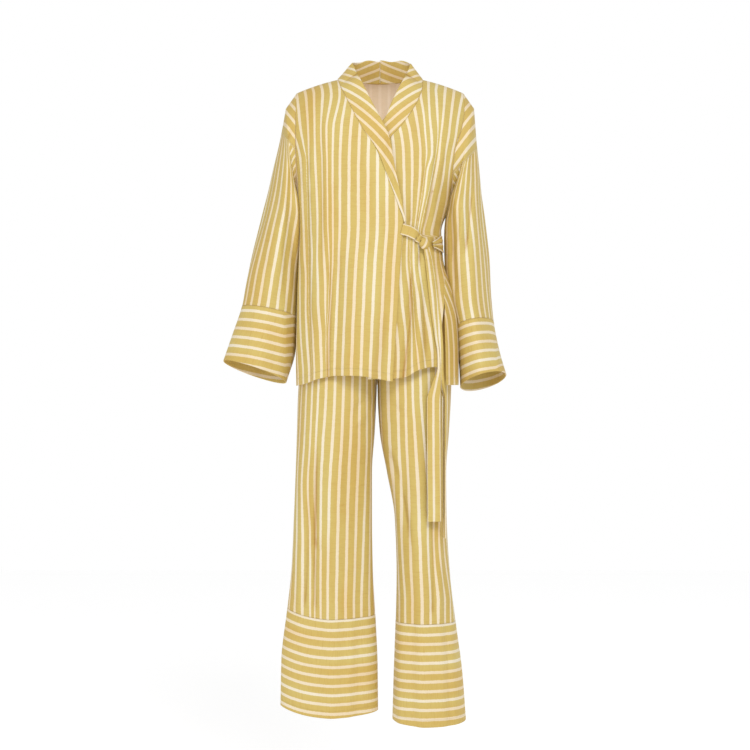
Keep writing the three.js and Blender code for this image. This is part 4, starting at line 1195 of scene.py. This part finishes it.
# %% The mesh of a panel
def sew(name, grid, cloth, thickness, loop=False, level_top=False, hemmed=False):
    """Makes a panel's mesh from its middle surface and its places on the flat cloth. The last
    faces of a loop run on to its first column, so a tube has no seam in it."""
    rows, columns = grid.shape[:2]
    away = grid_normals(grid, loop)
    if level_top:
        away[-1, :, 1] = 0
        away = unit(away)
    layers = panel_layers(grid, away, thickness, loop)
    points = np.concatenate([layer.reshape(-1, 3) for layer in layers])
    faces, flats = [], []
    for group in panel_faces(rows, columns, loop):
        corners = [(layer * rows + j) * columns + i % columns for layer, j, i in group]
        faces.append(np.stack(corners, 1))
        flats.append(np.stack([j * cloth.shape[1] + i for _, j, i in group], 1))
    right_faces = len(faces[0])
    faces, flats = np.concatenate(faces), np.concatenate(flats)
    used, compact = np.unique(faces, return_inverse=True)
    faces = compact.reshape(faces.shape)
    mesh = bpy.data.meshes.new(name)
    mesh.vertices.add(len(used))
    mesh.vertices.foreach_set("co", (points[used] * MM).ravel())
    mesh.loops.add(faces.size)
    mesh.loops.foreach_set("vertex_index", faces.ravel())
    mesh.polygons.add(len(faces))
    mesh.polygons.foreach_set("loop_start", np.arange(0, faces.size, 4))
    skin = np.zeros(len(faces), int)
    skin[right_faces : 2 * right_faces] = 1
    mesh.polygons.foreach_set("material_index", skin)
    mesh.polygons.foreach_set("use_smooth", np.ones(len(faces), bool))
    layer = mesh.uv_layers.new(name="cloth")
    layer.data.foreach_set("uv", (cloth.reshape(-1, 2)[flats.ravel()] * MM).ravel())
    from_hem = run_along(grid, 0) * MM * hemmed
    for label, values in (("hollow", hollows(grid, away, loop)), ("from_hem", from_hem)):
        everywhere = np.tile(values.ravel(), 3)[used].astype(np.float32)
        mesh.attributes.new(label, "FLOAT", "POINT").data.foreach_set("value", everywhere)
    mesh.update(calc_edges=True)
    mesh.validate()
    piece = bpy.data.objects.new(name, mesh)
    bpy.context.scene.collection.objects.link(piece)
    return piece


print("walls in mm: one layer", CLOTH, "doubled", DOUBLED, "elastic", ELASTIC)

# %% [markdown]
# ## Striped cloth
# The cloth is yarn-dyed: white and yellow threads make stripes 20.3 mm apart, so the stripes have
# soft edges, and slubby weft threads show as short darker dashes across the yellow. Painted
# stripes would have sharp edges and no thread. The group below works in the cloth's own
# coordinates and gives the white mask, the slubs and the height of the threads, so every panel can
# place it in its own way.

# %% Helpers for shader nodes
def new_group(name, inputs, outputs):
    """A node group that takes and gives plain numbers."""
    group, kind = bpy.data.node_groups.new(name, "ShaderNodeTree"), "NodeSocketFloat"
    for label, usual in inputs.items():
        socket = group.interface.new_socket(name=label, in_out="INPUT", socket_type=kind)
        socket.default_value = usual
    for label in outputs:
        group.interface.new_socket(name=label, in_out="OUTPUT", socket_type=kind)
    return group, group.nodes.new("NodeGroupInput"), group.nodes.new("NodeGroupOutput")


def connect(tree, value, socket):
    if isinstance(value, bpy.types.NodeSocket):
        tree.links.new(value, socket)
    else:
        socket.default_value = value


def calc(tree, operation, *values):
    node = tree.nodes.new("ShaderNodeMath")
    node.operation = operation
    for value, socket in zip(values, node.inputs):
        connect(tree, value, socket)
    return node.outputs[0]


def remap(tree, value, from_low, from_high, to_low, to_high, soft=False):
    node = tree.nodes.new("ShaderNodeMapRange")
    node.interpolation_type = "SMOOTHSTEP" if soft else "LINEAR"
    for socket, number in zip(node.inputs[:5], (value, from_low, from_high, to_low, to_high)):
        connect(tree, number, socket)
    return node.outputs[0]


def blend(tree, share, first, second, kind="MIX"):
    node = tree.nodes.new("ShaderNodeMix")
    node.data_type, node.blend_type = "RGBA", kind
    connect(tree, share, node.inputs[0])
    connect(tree, first, node.inputs[6])
    connect(tree, second, node.inputs[7])
    return node.outputs[2]


def speckle(tree, x, y, scale_x, scale_y, detail=2.0, seed=0.0):
    """Noise that is stretched along one of the cloth's directions."""
    join = tree.nodes.new("ShaderNodeCombineXYZ")
    connect(tree, calc(tree, "MULTIPLY", x, scale_x), join.inputs[0])
    connect(tree, calc(tree, "MULTIPLY", y, scale_y), join.inputs[1])
    connect(tree, seed, join.inputs[2])
    noise = tree.nodes.new("ShaderNodeTexNoise")
    noise.inputs["Scale"].default_value = 1.0
    noise.inputs["Detail"].default_value = detail
    tree.links.new(join.outputs[0], noise.inputs["Vector"])
    return noise.outputs[0]


print("node groups so far", len(bpy.data.node_groups))

# %% The woven stripe group
WHITE_WIDTH, SOFT_EDGE, WOBBLE, FRAY = 0.0064, 0.0006, 0.0004, 0.0005
WARP_APART, WEFT_APART = 0.00062, 0.00066
g, given, made = new_group(
    "woven stripes",
    {"Across": 0.0, "Along": 0.0, "Repeat": REPEAT * MM, "White width": WHITE_WIDTH},
    ("White", "Slub", "Thread", "Patch"))
across, along, repeat = (given.outputs[label] for label in ("Across", "Along", "Repeat"))

drift = remap(g, speckle(g, across, along, 30.0, 22.0, 2.0, 3.1), 0.3, 0.7, -WOBBLE, WOBBLE)
turns = calc(g, "DIVIDE", calc(g, "ADD", across, drift), repeat)
off = calc(g, "ABSOLUTE", calc(g, "SUBTRACT", turns, calc(g, "ROUND", turns)))
fray = remap(g, speckle(g, across, along, 900.0, 260.0, 1.0, 9.0), 0.2, 0.8, -FRAY, FRAY)
from_middle = calc(g, "ADD", calc(g, "MULTIPLY", off, repeat), fray)
edge = calc(g, "MULTIPLY", given.outputs["White width"], 0.5)
white = remap(g, from_middle, calc(g, "SUBTRACT", edge, SOFT_EDGE), calc(g, "ADD", edge, SOFT_EDGE),
              1.0, 0.0, soft=True)

slub = remap(g, speckle(g, across, along, 45.0, 620.0, 3.0, 1.7), 0.50, 0.72, 0.0, 1.0)
warp = calc(g, "SINE", calc(g, "MULTIPLY", across, 2 * math.pi / WARP_APART))
weft = calc(g, "SINE", calc(g, "MULTIPLY", along, 2 * math.pi / WEFT_APART))
thread = calc(g, "MULTIPLY", calc(g, "ADD", warp, weft), 0.25)
thread = calc(g, "ADD", thread, calc(g, "MULTIPLY", slub, 0.35))
patch = speckle(g, across, along, 14.0, 9.0, 3.0, 5.5)
for label, value in (("White", white), ("Slub", slub), ("Thread", thread), ("Patch", patch)):
    g.links.new(value, made.inputs[label])
print("nodes in the stripe group", len(g.nodes))

# %% [markdown]
# ## The cloth's finishes
# The right side is a soft satin-like cotton, pale where the light skims it. Deep in the folds its
# colour is darkened to a warm, deeper yellow: painted shade, in place of the shade and the light
# that bounces from fold to fold. The wrong side shows the same stripes, but paler, and a little
# light comes through the cloth from outside, which a faint glow stands in for. Wide, faint patches
# of a warmer tone keep a large panel from looking painted. A hem has a line of stitches and a
# small step where its cloth is turned up, at a distance that each point carries.

# %% Colours and marks
def colour(red, green, blue):
    """A colour given as it is seen on a screen, made ready for a shader."""
    seen = np.array([red, green, blue]) / 255
    made = np.where(seen <= 0.04045, seen / 12.92, ((seen + 0.055) / 1.055) ** 2.4)
    return (*made.tolist(), 1.0)


def attribute(tree, name):
    node = tree.nodes.new("ShaderNodeAttribute")
    node.attribute_name = name
    return node.outputs["Fac"]


YELLOW, WHITE, DEEP = colour(200, 180, 105), colour(227, 216, 192), colour(184, 150, 76)
# The first colour is painted shade: the warm tan that the cloth is darkened to deep in a fold.
PAINTED_FOLD_SHADE, IN_PATCHES = colour(206, 170, 112), colour(248, 226, 190)
SHEEN = {"Specular IOR Level": 0.35, "Sheen Weight": 0.12, "Sheen Roughness": 0.45,
         "Sheen Tint": colour(255, 240, 205)}
print("yellow for a shader", [round(part, 3) for part in YELLOW])

# %% The cloth material
HEM_LINE = 0.016


def cloth_material(name, yellow, white, deep, bump=0.5, wrinkle=0.6):
    material = bpy.data.materials.new(name)
    material.use_nodes = True
    tree = material.node_tree
    shader = tree.nodes["Principled BSDF"]
    flat = tree.nodes.new("ShaderNodeUVMap")
    flat.uv_map = "cloth"
    parts = tree.nodes.new("ShaderNodeSeparateXYZ")
    tree.links.new(flat.outputs[0], parts.inputs[0])
    across, along = parts.outputs[0], parts.outputs[1]
    woven = tree.nodes.new("ShaderNodeGroup")
    woven.node_tree = g
    tree.links.new(across, woven.inputs["Across"])
    tree.links.new(along, woven.inputs["Along"])
    slub, patch = woven.outputs["Slub"], woven.outputs["Patch"]

    ground = blend(tree, calc(tree, "MULTIPLY", slub, 0.42), yellow, deep)
    ground = blend(tree, remap(tree, patch, 0.35, 0.65, 0.0, 0.16), ground, deep)
    threads = blend(tree, calc(tree, "MULTIPLY", slub, 0.12), white, yellow)
    seen = blend(tree, woven.outputs["White"], ground, threads)
    # Painted shade: deep in a fold the colour is multiplied towards a warm tan.
    shade = blend(tree, attribute(tree, "hollow"), (1, 1, 1, 1), PAINTED_FOLD_SHADE)
    seen = blend(tree, 1.0, seen, shade, "MULTIPLY")
    tone = remap(tree, speckle(tree, across, along, 16.0, 3.0, 3.0, 2.2), 0.35, 0.7, 0.0, 0.8)
    seen = blend(tree, tone, seen, blend(tree, 1.0, seen, IN_PATCHES, "MULTIPLY"))
    tree.links.new(seen, shader.inputs["Base Color"])
    tree.links.new(remap(tree, patch, 0.3, 0.7, 0.52, 0.66), shader.inputs["Roughness"])
    for label, value in SHEEN.items():
        shader.inputs[label].default_value = value

    from_hem = attribute(tree, "from_hem")
    gone = calc(tree, "ABSOLUTE", calc(tree, "SUBTRACT", from_hem, HEM_LINE))
    stitch = remap(tree, gone, 0.0004, 0.0011, 1.0, 0.0, soft=True)
    turned = remap(tree, from_hem, HEM_LINE + 0.0002, HEM_LINE + 0.0016, 0.0, 1.0, soft=True)
    rumple = speckle(tree, across, along, 55.0, 26.0, 3.0, 7.7)
    height = calc(tree, "MULTIPLY", woven.outputs["Thread"], 0.10 * bump)
    for operation, mark, amount in (("ADD", rumple, 1.6 * wrinkle), ("SUBTRACT", stitch, 0.6),
                                    ("SUBTRACT", turned, 0.35)):
        height = calc(tree, operation, height, calc(tree, "MULTIPLY", mark, amount))
    relief = tree.nodes.new("ShaderNodeBump")
    relief.inputs["Strength"].default_value = 1.0
    relief.inputs["Distance"].default_value = 0.001
    tree.links.new(height, relief.inputs["Height"])
    tree.links.new(relief.outputs[0], shader.inputs["Normal"])
    return material


striped = cloth_material("striped cloth", YELLOW, WHITE, DEEP)
wrong_side = cloth_material("wrong side of the cloth", colour(216, 202, 180), colour(224, 212, 196),
                            colour(206, 190, 164), 0.4)
glow = wrong_side.node_tree.nodes["Principled BSDF"].inputs
glow["Emission Color"].default_value = colour(214, 200, 180)
glow["Emission Strength"].default_value = 0.28
trim = cloth_material("striped trim", colour(202, 181, 105), WHITE, DEEP, 0.5, 0.35)
print("materials", [m.name for m in bpy.data.materials])

# %% [markdown]
# ## Sewing the pieces
# Each panel is laid out as a fine grid on its surface. It takes the place of the plain solid of
# the same name, rides on the garment's one body, and prints the size of its laid-out cloth.

# %% Making one piece
SPACING = 3.6


def make(node, grid, cloth, thickness, flat, area=None, held="draped", slot="striped_cloth",
         **sewing):
    """Sews a piece, finishes its two sides, hides the solid that it replaces, and prints its name
    and size.
    """
    piece = sew("cloth_" + node, grid, cloth, thickness, **sewing)
    for skin in (striped, wrong_side) if slot == "striped_cloth" else (trim, trim):
        piece.data.materials.append(skin)
    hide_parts(node)
    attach(piece, "root")
    across, down = run_along(grid, 1)[:, -1], run_along(grid, 0)[-1]
    cells = np.cross(grid[1:, :-1] - grid[:-1, :-1], grid[:-1, 1:] - grid[:-1, :-1])
    print(f"{piece.name}: {len(piece.data.polygons)} faces, rows {across.min():.0f} to "
          f"{across.max():.0f} mm, columns {down.min():.0f} to {down.max():.0f} mm, "
          f"{length_of(cells).sum() * MM**2:.4f} m2")


def line_through(text):
    return curve(table(text), "z", "x")


def middle_line(z):
    return 0.0


print("about", round(1000 / SPACING), "points to a metre of cloth")

# %% [markdown]
# ## Where the stripes run
# On the fronts and the legs the stripes show how the cloth lies, so they are set out one by one.
# Those of the left front sweep in to the tie and fan out below it, and small pleats take in a
# stripe here and there. One measured line and even spacing would draw a flat cloth.

# %% Stripes of the fronts and legs
STRIPES_RIGHT = family("""
z    -7   -6.5   -5.5   -5   -4   -3.5   -3     -2.5   -1.5   -1     0
0    -210 -201   -182   -172 -152 -142   -132   -122   -101   -90    -66
-39  -200 -190   -171   -161 -143 -134   -124   -115   -96    -87    -72
-114 -190 -180   -162   -155 -141 -134   -127   -122   -108   -100   -83
-150 -178 -170   -159   -154 -140 -133   -126   -121   -108   -101.5 -85
-184 -172 -160   -158   -153 -139 -131   -124   -119   -108   -102   -86
-321 -166 -157   -155   -149 -134 -128   -122.5 -117   -107   -101.5 -86.5
-390 -163 -154.5 -153   -146 -135 -128   -120   -113   -106   -101.5 -89
-430 -160 -154.5 -153   -147 -134 -126   -118   -109.5 -107.5 -103   -90
-500 -160 -154   -152.5 -148 -132 -124   -117   -112   -110.5 -107   -93
-560 -158 -150   -148.5 -144 -128 -117   -116.3 -115.6 -114.5 -110.5 -95.5
-630 -152 -146.5 -145   -141 -126 -116.5 -115.8 -115.3 -114.2 -110   -98
""")
STRIPES_LEFT = family("""
z     0    1    2    2.5  3    3.5  4    4.5   5     5.5   6    7     8
0    5    28   62   74   84   95   106  116   126   136   146  167   187
-30  12   34   66   76   86   96   105  113   121   131   141  161   181
-86  31   53   77   86   94   100  106  115   124   130   135  153   169
-128 45   64   83   91   97   103  109  120.5 124.5 126   130  148   163
-167 50   68   86   93.5 100  104  111  118   120.5 121.5 126  141   155
-206 51   68.5 85.5 94.5 95.5 96.5 101  109   113.5 114.5 120  137.5 149
-257 52   68   82   88.5 89.5 90.5 95   102   103   104   110  127.5 146
-296 53   68   78   82.2 83.2 84.2 88   93    94    95    102  119   138
-334 54   65   73.5 76.5 77.3 78   81   85.5  86.5  87.5  93   110   130
""")
STRIPES_BELOW = family("""
z    0    1    1.5   2    2.5  3    4     5    6
-345 47   58   63    64   65   72   82    97   118
-395 43   56.5 63    64   65   71.5 82    100  120
-471 45.5 63.5 69    70   71   79   91    109  128
-557 54   68   73    75   78   88   107   122  138
-600 56   68   74    80   86   93   112   127  142
-650 54   69   77    84   92   99   112.5 125  142
""")
STRIPES_LEG_RIGHT = family("""
z     -8   -7   -6   -5   -4   -3  -2  -1  0
-400  -148 -136 -124 -110 -92  -74 -56 -40 -25
-681  -159 -146 -133 -116 -97  -79 -60 -44 -29
-788  -164 -151 -139 -123 -103 -83 -64 -46 -29
-888  -170 -157 -142 -128 -109 -89 -69 -50 -32
-994  -168 -152 -139 -129 -112 -92 -72 -53 -36
-1133 -169 -151 -142 -129 -114 -95 -75 -57 -41
""")
STRIPES_LEG_LEFT = family("""
z     -1 0  1  2  3   4   5   6   7
-400  -4 14 32 50 67  84  101 117 131
-681  0  18 38 55 70  87  105 121 135
-788  5  22 41 57 76  95  110 124 137
-888  14 31 46 62 82  103 117 129 140
-994  26 37 47 65 86  103 116 127 138
-1133 22 43 55 70 91  109 125 141 153
""")
print("stripes of the right front at z -430:", STRIPES_RIGHT[1](-430).round(1).tolist())

# %% [markdown]
# ## The back and the two fronts
# These three panels share the torso's form, and differ in where they start and stop on it. They
# could be cut from one finished tube, but then the cut edges would be ragged. Each one is laid out
# from its own edge to its own seam instead, with rows at the same levels, so that the side seams
# meet.

# %% The back and the two fronts
ANY_HEIGHT, TIE_HEIGHT = -1e4, -345
THREE_QUARTERS = 3 * QUARTER
# Each panel's place and form, its width, its stripes with the turns that they are set out between,
# and its cut.
PANELS = {
    "back": (back_place, back_face, 520, middle_line,
             math.radians(40), THREE_QUARTERS, (0.53, 0.72), 0.331),
    "front_right": (front_right_place, right_face, 330, (-100, [(ANY_HEIGHT, STRIPES_RIGHT)]),
                    -QUARTER, QUARTER, (0.34, 0.70), 0.163),
    "front_left": (front_left_place, left_face, 270,
                   (80, [(TIE_HEIGHT, STRIPES_LEFT), (ANY_HEIGHT, STRIPES_BELOW)]),
                   -QUARTER, QUARTER, (0.28, 0.69), 0.121),
}
panel_rows = spread(back, 0.0, float(TOP_LEVEL), int(700 / SPACING), along=0.25)
for node, (place, face, width, lines, turn_low, turn_high, flat, area) in PANELS.items():
    u, v = np.meshgrid(np.linspace(0, 1, int(width / SPACING) + 1), panel_rows)
    turns, levels = np.broadcast_arrays(*place(u, v))
    cloth = ring_stripes(face, lines, turn_low, turn_high, turns, levels)
    make(node, face(turns, levels), cloth, CLOTH, flat, area, level_top=True, hemmed=True)

# %% [markdown]
# ## The two halves of the collar
# Behind the neck the stripes run nearly along the band. In front they cross it, flat at the
# shoulder and steeper towards the tie. One slant for the whole band would be simpler, but the band
# itself turns as it comes round the neck, so the slant is set by height and followed along the
# band's middle line. The blends from the back to the front are places along the band: 0 is the
# middle of the back, and 1 the shoulder.

# %% The collar
STEEPNESS = curve(table("""
z    degrees
60   24
10   26
-20  30
-45  36
-80  41
-130 46
-170 54
-220 64
-320 70
"""), "z", "degrees")
STEEPNESS_BEHIND, STRIPE_PASSES, COLLAR_CLOSER = 24, -46, 1.13
COLLAR_COLUMNS, COLLAR_END, FINE = 16, -320, 900
SLANT_TURNS, BAND_TURNS, SEEN_IN_FRONT = (0.5, 1.1), (0.45, 0.9), (0.5, 1.0)
for side, (panel, _, edge) in FRONTS.items():
    levels = np.linspace(TOP_LEVEL, 4, FINE)
    reached = levels[panel(np.full(FINE, edge), levels)[:, 2] > COLLAR_END].min()
    us = np.linspace(0, 1, COLLAR_COLUMNS + 1)
    vs = spread(collar(side), 0.0, 1 + TOP_LEVEL - reached, int(520 / SPACING))
    grid = grid_of(collar(side), us, vs)
    middle = grid[:, COLLAR_COLUMNS // 2]
    ahead = smooth(*SLANT_TURNS, vs)
    steep = np.radians(STEEPNESS_BEHIND * (1 - ahead) + STEEPNESS(middle[:, 2]) * ahead)
    sine, cosine = np.sin(steep), np.cos(steep)
    step, turned = np.diff(middle, axis=0), smooth(*BAND_TURNS, vs[1:])
    level = np.hypot(step[:, 0], step[:, 1]) * (1 - turned) - step[:, 0] * OUTWARD[side] * turned
    drift = np.insert(np.cumsum(level * sine[1:] + step[:, 2] * cosine[1:]), 0, 0)
    drift -= drift[np.abs(middle[:, 2] - STRIPE_PASSES).argmin()]
    off = grid - middle[:, None]
    behind = length_of(off)[..., 0] * np.sign((us - 0.5) * OUTWARD[side]) * cosine[:, None]
    in_front = off[..., 2] * cosine[:, None] - off[..., 0] * OUTWARD[side] * sine[:, None]
    front = smooth(*SEEN_IN_FRONT, vs)[:, None]
    across = drift[:, None] + behind * (1 - front) + in_front * front
    cloth = laid_flat(across * COLLAR_CLOSER, run_along(middle, 0)[:, None])
    make("collar_" + side, grid, cloth, DOUBLED, (0.05, 0.46), 0.0178, slot="striped_trim")

# %% [markdown]
# ## The sleeves and cuffs
# The sleeve is a tube with its stripes down the arm, but over the dropped shoulder they still
# follow the body's slope, so that part is laid out on its own above a slanting line. The deep cuff
# is cut across the stripes. It is a flared band, and its stripes turn at the corner that its
# crease makes.

# %% The sleeves and cuffs
# Where the slanting line crosses the sleeve, its height there, and its slope.
SHOULDER_PART = {"right": (-215, -117, 1.30), "left": (212, -150, 1.06)}
SLOPE_SIDE, SLOPE_UP, SLOPE_CLOSER = -0.8, 0.6, 1.08
CUFF_CORNER, CUFF_TURN, CUFF_FIRST = {"right": (-208, 0), "left": (250, -10)}, 0.55, 12.0
AREAS = {"right": (0.125, 0.048), "left": (0.138, 0.0459)}
round_by = np.linspace(0, 2 * math.pi, int(420 / SPACING), endpoint=False)
for side, outward in OUTWARD.items():
    surface = sleeve(side)
    sleeve_area, cuff_area = AREAS[side]
    rings = spread(surface, 0.0, float(CUFF_RING), int(470 / SPACING), along=math.pi)
    grid = grid_of(surface, round_by, rings)
    whole = closed(grid)
    x, z = whole[..., 0], whole[..., 2]
    run = blur(run_along(whole, 1), 80)
    run -= run[:, len(round_by) // 2][:, None]
    at, height, slope = SHOULDER_PART[side]
    sloping = (SLOPE_SIDE * np.abs(x) + SLOPE_UP * z) * SLOPE_CLOSER
    across = np.where(z > height - (at - x) * outward * slope, sloping, run)
    cloth = laid_flat(across, run_along(whole, 0).mean(1)[:, None])
    make("sleeve_" + side, grid, cloth, CLOTH, (0.42, 0.48), sleeve_area, loop=True)

    rings = spread(surface, float(CUFF_RING), float(SLEEVE_END), int(140 / SPACING), along=math.pi)
    grid = grid_of(surface, round_by, rings)
    whole = closed(grid)
    corner, front = CUFF_CORNER[side]
    past = np.maximum(0, whole[..., 0] - corner) * smooth(front, front - 20, whole[..., 1])
    cloth = stripes_round(grid, CUFF_FIRST, from_top=False)
    cloth[..., 0] += CUFF_TURN * past
    make("cuff_" + side, grid, cloth, DOUBLED, (0.15, 0.38), cuff_area, slot="striped_trim",
         loop=True)

# %% [markdown]
# ## The tie
# The tie is two narrow strips with a stripe or two in their width. Tying a strip of real cloth in
# a simulation seldom ends as it is wanted, so the strap, the fan, the knot and the free ends are
# separate pieces that run into one another. The knot's stripes go round it, because its cloth is
# wrapped.

# %% The tie
STRAP_SHOWS, SIDE_SHOWS, TAIL_SHOWS, KNOT_FIRST = 0.86, 2, 1 / 16, 0.6
for node, surface, columns, rows, flat, held in (
    ("tie_strap", strap(TIE_STRAP), 12, 24, (0.024, 0.055), "stretched"),
    ("tie_side", strap(TIE_SIDE, 1.6), 40, 24, (0.05, 0.07), "gathered"),
    ("tie_tail_front", tail(TAIL_FRONT, 3.4), 10, 180, (0.03, 0.60), "hung"),
    ("tie_tail_back", tail(TAIL_BACK, 1.7), 10, 190, (0.025, 0.64), "hung"),
    ("tie_knot", knot, 44, 24, (0.024, 0.064), "gathered"),
):
    grid = grid_of(surface, np.linspace(0, 1, columns + 1), np.linspace(0, 1, rows + 1))
    width = length_of(grid[:, -1] - grid[:, 0])
    down = run_along(grid[:, columns // 2], 0)[:, None]
    share = np.linspace(-0.5, 0.5, columns + 1)
    if node == "tie_strap":
        aside = (share * STRAP_SHOWS + 0.5) * REPEAT
    elif node == "tie_side":
        aside = share * SIDE_SHOWS * REPEAT
    else:
        aside = (1 - width * share) * TAIL_SHOWS * REPEAT
    cloth, wrapped = laid_flat(aside, down), node == "tie_knot"
    if wrapped:
        grid, cloth = grid[:, :-1], laid_flat(down - KNOT_FIRST * REPEAT, aside + down)
    make(node, grid, cloth, DOUBLED, flat, held=held, slot="striped_trim", loop=wrapped)

# %% [markdown]
# ## The trousers
# A leg has a front and a back panel that meet at its two seams, and a deep band that is cut across
# the stripes and sewn on below. The panels share one leg form, so their edges meet along the whole
# seam. The waistband is hidden under the top, and is a plain ring of elastic casing.

# %% The legs, hem bands and waistband
LEG_LINES = {
    "right": line_through("z x\n-1173 -113\n-1036 -113\n-662 -96\n-400 -90"),
    "left": line_through("z x\n-1179 95\n-1036 89\n-662 71.7\n-400 66"),
}
LEG_STRIPES = {
    "right": (-90, [(ANY_HEIGHT, STRIPES_LEG_RIGHT)]),
    "left": (80, [(ANY_HEIGHT, STRIPES_LEG_LEFT)]),
}
SEAM_TURN, BAND_FIRST = 1e-4, 2.0
for side in ("right", "left"):
    surface = leg(side)
    rows = spread(surface, float(BAND_LEVEL), float(WAIST_LEVEL), int(790 / SPACING), along=0.0)
    for face, start in (("front", -QUARTER), ("back", QUARTER)):
        turns = start + np.linspace(SEAM_TURN, math.pi - SEAM_TURN, int(230 / SPACING) + 1)
        grid = grid_of(surface, turns, rows)
        if face == "front":
            cloth = stripes_along(grid, *LEG_STRIPES[side])
        else:
            cloth = stripes_down(grid, LEG_LINES[side])
        make(f"leg_{face}_{side}", grid, cloth, CLOTH, (0.26, 0.81), 0.18)
    turns = np.linspace(-QUARTER, THREE_QUARTERS, int(440 / SPACING), endpoint=False)
    rows = spread(surface, 0.0, float(BAND_LEVEL), int(220 / SPACING), along=0.0)
    grid = grid_of(surface, turns, rows)
    make("hem_band_" + side, grid, stripes_round(grid, BAND_FIRST), DOUBLED, (0.22, 0.46), 0.094,
         slot="striped_trim", loop=True, hemmed=True)
grid = grid_of(waistband, np.linspace(0, 1, 220, endpoint=False), np.linspace(0, 1, 12))
make("waistband", grid, stripes_down(grid, middle_line, loop=True), ELASTIC, (0.035, 0.71),
     held="gathered", slot="waistband_cloth", loop=True)

# %% [markdown]
# ## Studio
# A garment shown for its cut wants even light: a large soft light in front and above, a pale
# floor, and white all round. The white behind is brighter to the camera than it is as a light, so
# that it stays white without washing out the folds.

# %% The floor
FLOOR, REACH = -1.72, 6.0
ground_mesh = bpy.data.meshes.new("studio_floor")
corners = ((-1, -1), (1, -1), (1, 1), (-1, 1))
ground_mesh.from_pydata([(x * REACH, y * REACH, FLOOR) for x, y in corners], [], [(0, 1, 2, 3)])
floor = bpy.data.objects.new("studio_floor", ground_mesh)
bpy.context.scene.collection.objects.link(floor)
paper = bpy.data.materials.new("white paper")
paper.use_nodes = True
for label, value in {"Base Color": (0.93, 0.93, 0.93, 1), "Roughness": 0.9,
                     "Emission Color": (1, 1, 1, 1), "Emission Strength": 0.35}.items():
    paper.node_tree.nodes["Principled BSDF"].inputs[label].default_value = value
ground_mesh.materials.append(paper)
print("floor at", FLOOR)

# %% The lights
WORLD_LIGHT, WORLD_SEEN = 0.66, 1.0
world = bpy.context.scene.world or bpy.data.worlds.new("studio")
bpy.context.scene.world = world
world.use_nodes = True
background = world.node_tree.nodes["Background"]
background.inputs[0].default_value = (1, 1, 1, 1)
rays = world.node_tree.nodes.new("ShaderNodeLightPath")
bright = remap(world.node_tree, rays.outputs["Is Camera Ray"], 0.0, 1.0, WORLD_LIGHT, WORLD_SEEN)
world.node_tree.links.new(bright, background.inputs[1])


def soft_light(name, place, target, size, power_watts):
    lamp = bpy.data.lights.new(name, "AREA")
    lamp.shape, lamp.size, lamp.energy = "DISK", size, power_watts
    holder = bpy.data.objects.new(name, lamp)
    holder.location = place
    aim = Vector(target) - Vector(place)
    holder.rotation_mode = "QUATERNION"
    holder.rotation_quaternion = aim.to_track_quat("-Z", "Y")
    bpy.context.scene.collection.objects.link(holder)


soft_light("key_light", (0.7, -3.3, 1.7), (0, 0, -0.5), 1.3, 66)
soft_light("fill_light", (-2.6, -2.6, 0.2), (0, 0, -0.7), 2.0, 16)
print("lights", [lamp.name for lamp in bpy.data.lights])

# %% The camera
DISTANCE, VIEW_WIDTH, SENSOR = 4.0, 1.65, 36
camera = bpy.data.objects.new("camera", bpy.data.cameras.new("camera"))
camera.location = (-0.011, -DISTANCE, -0.645)
camera.rotation_euler = (QUARTER, 0, 0)
camera.data.sensor_width = SENSOR
camera.data.lens = SENSOR * DISTANCE / VIEW_WIDTH
bpy.context.scene.collection.objects.link(camera)
bpy.context.scene.camera = camera
bpy.context.scene.view_settings.view_transform = "Standard"
print("lens", round(camera.data.lens, 1), "mm")
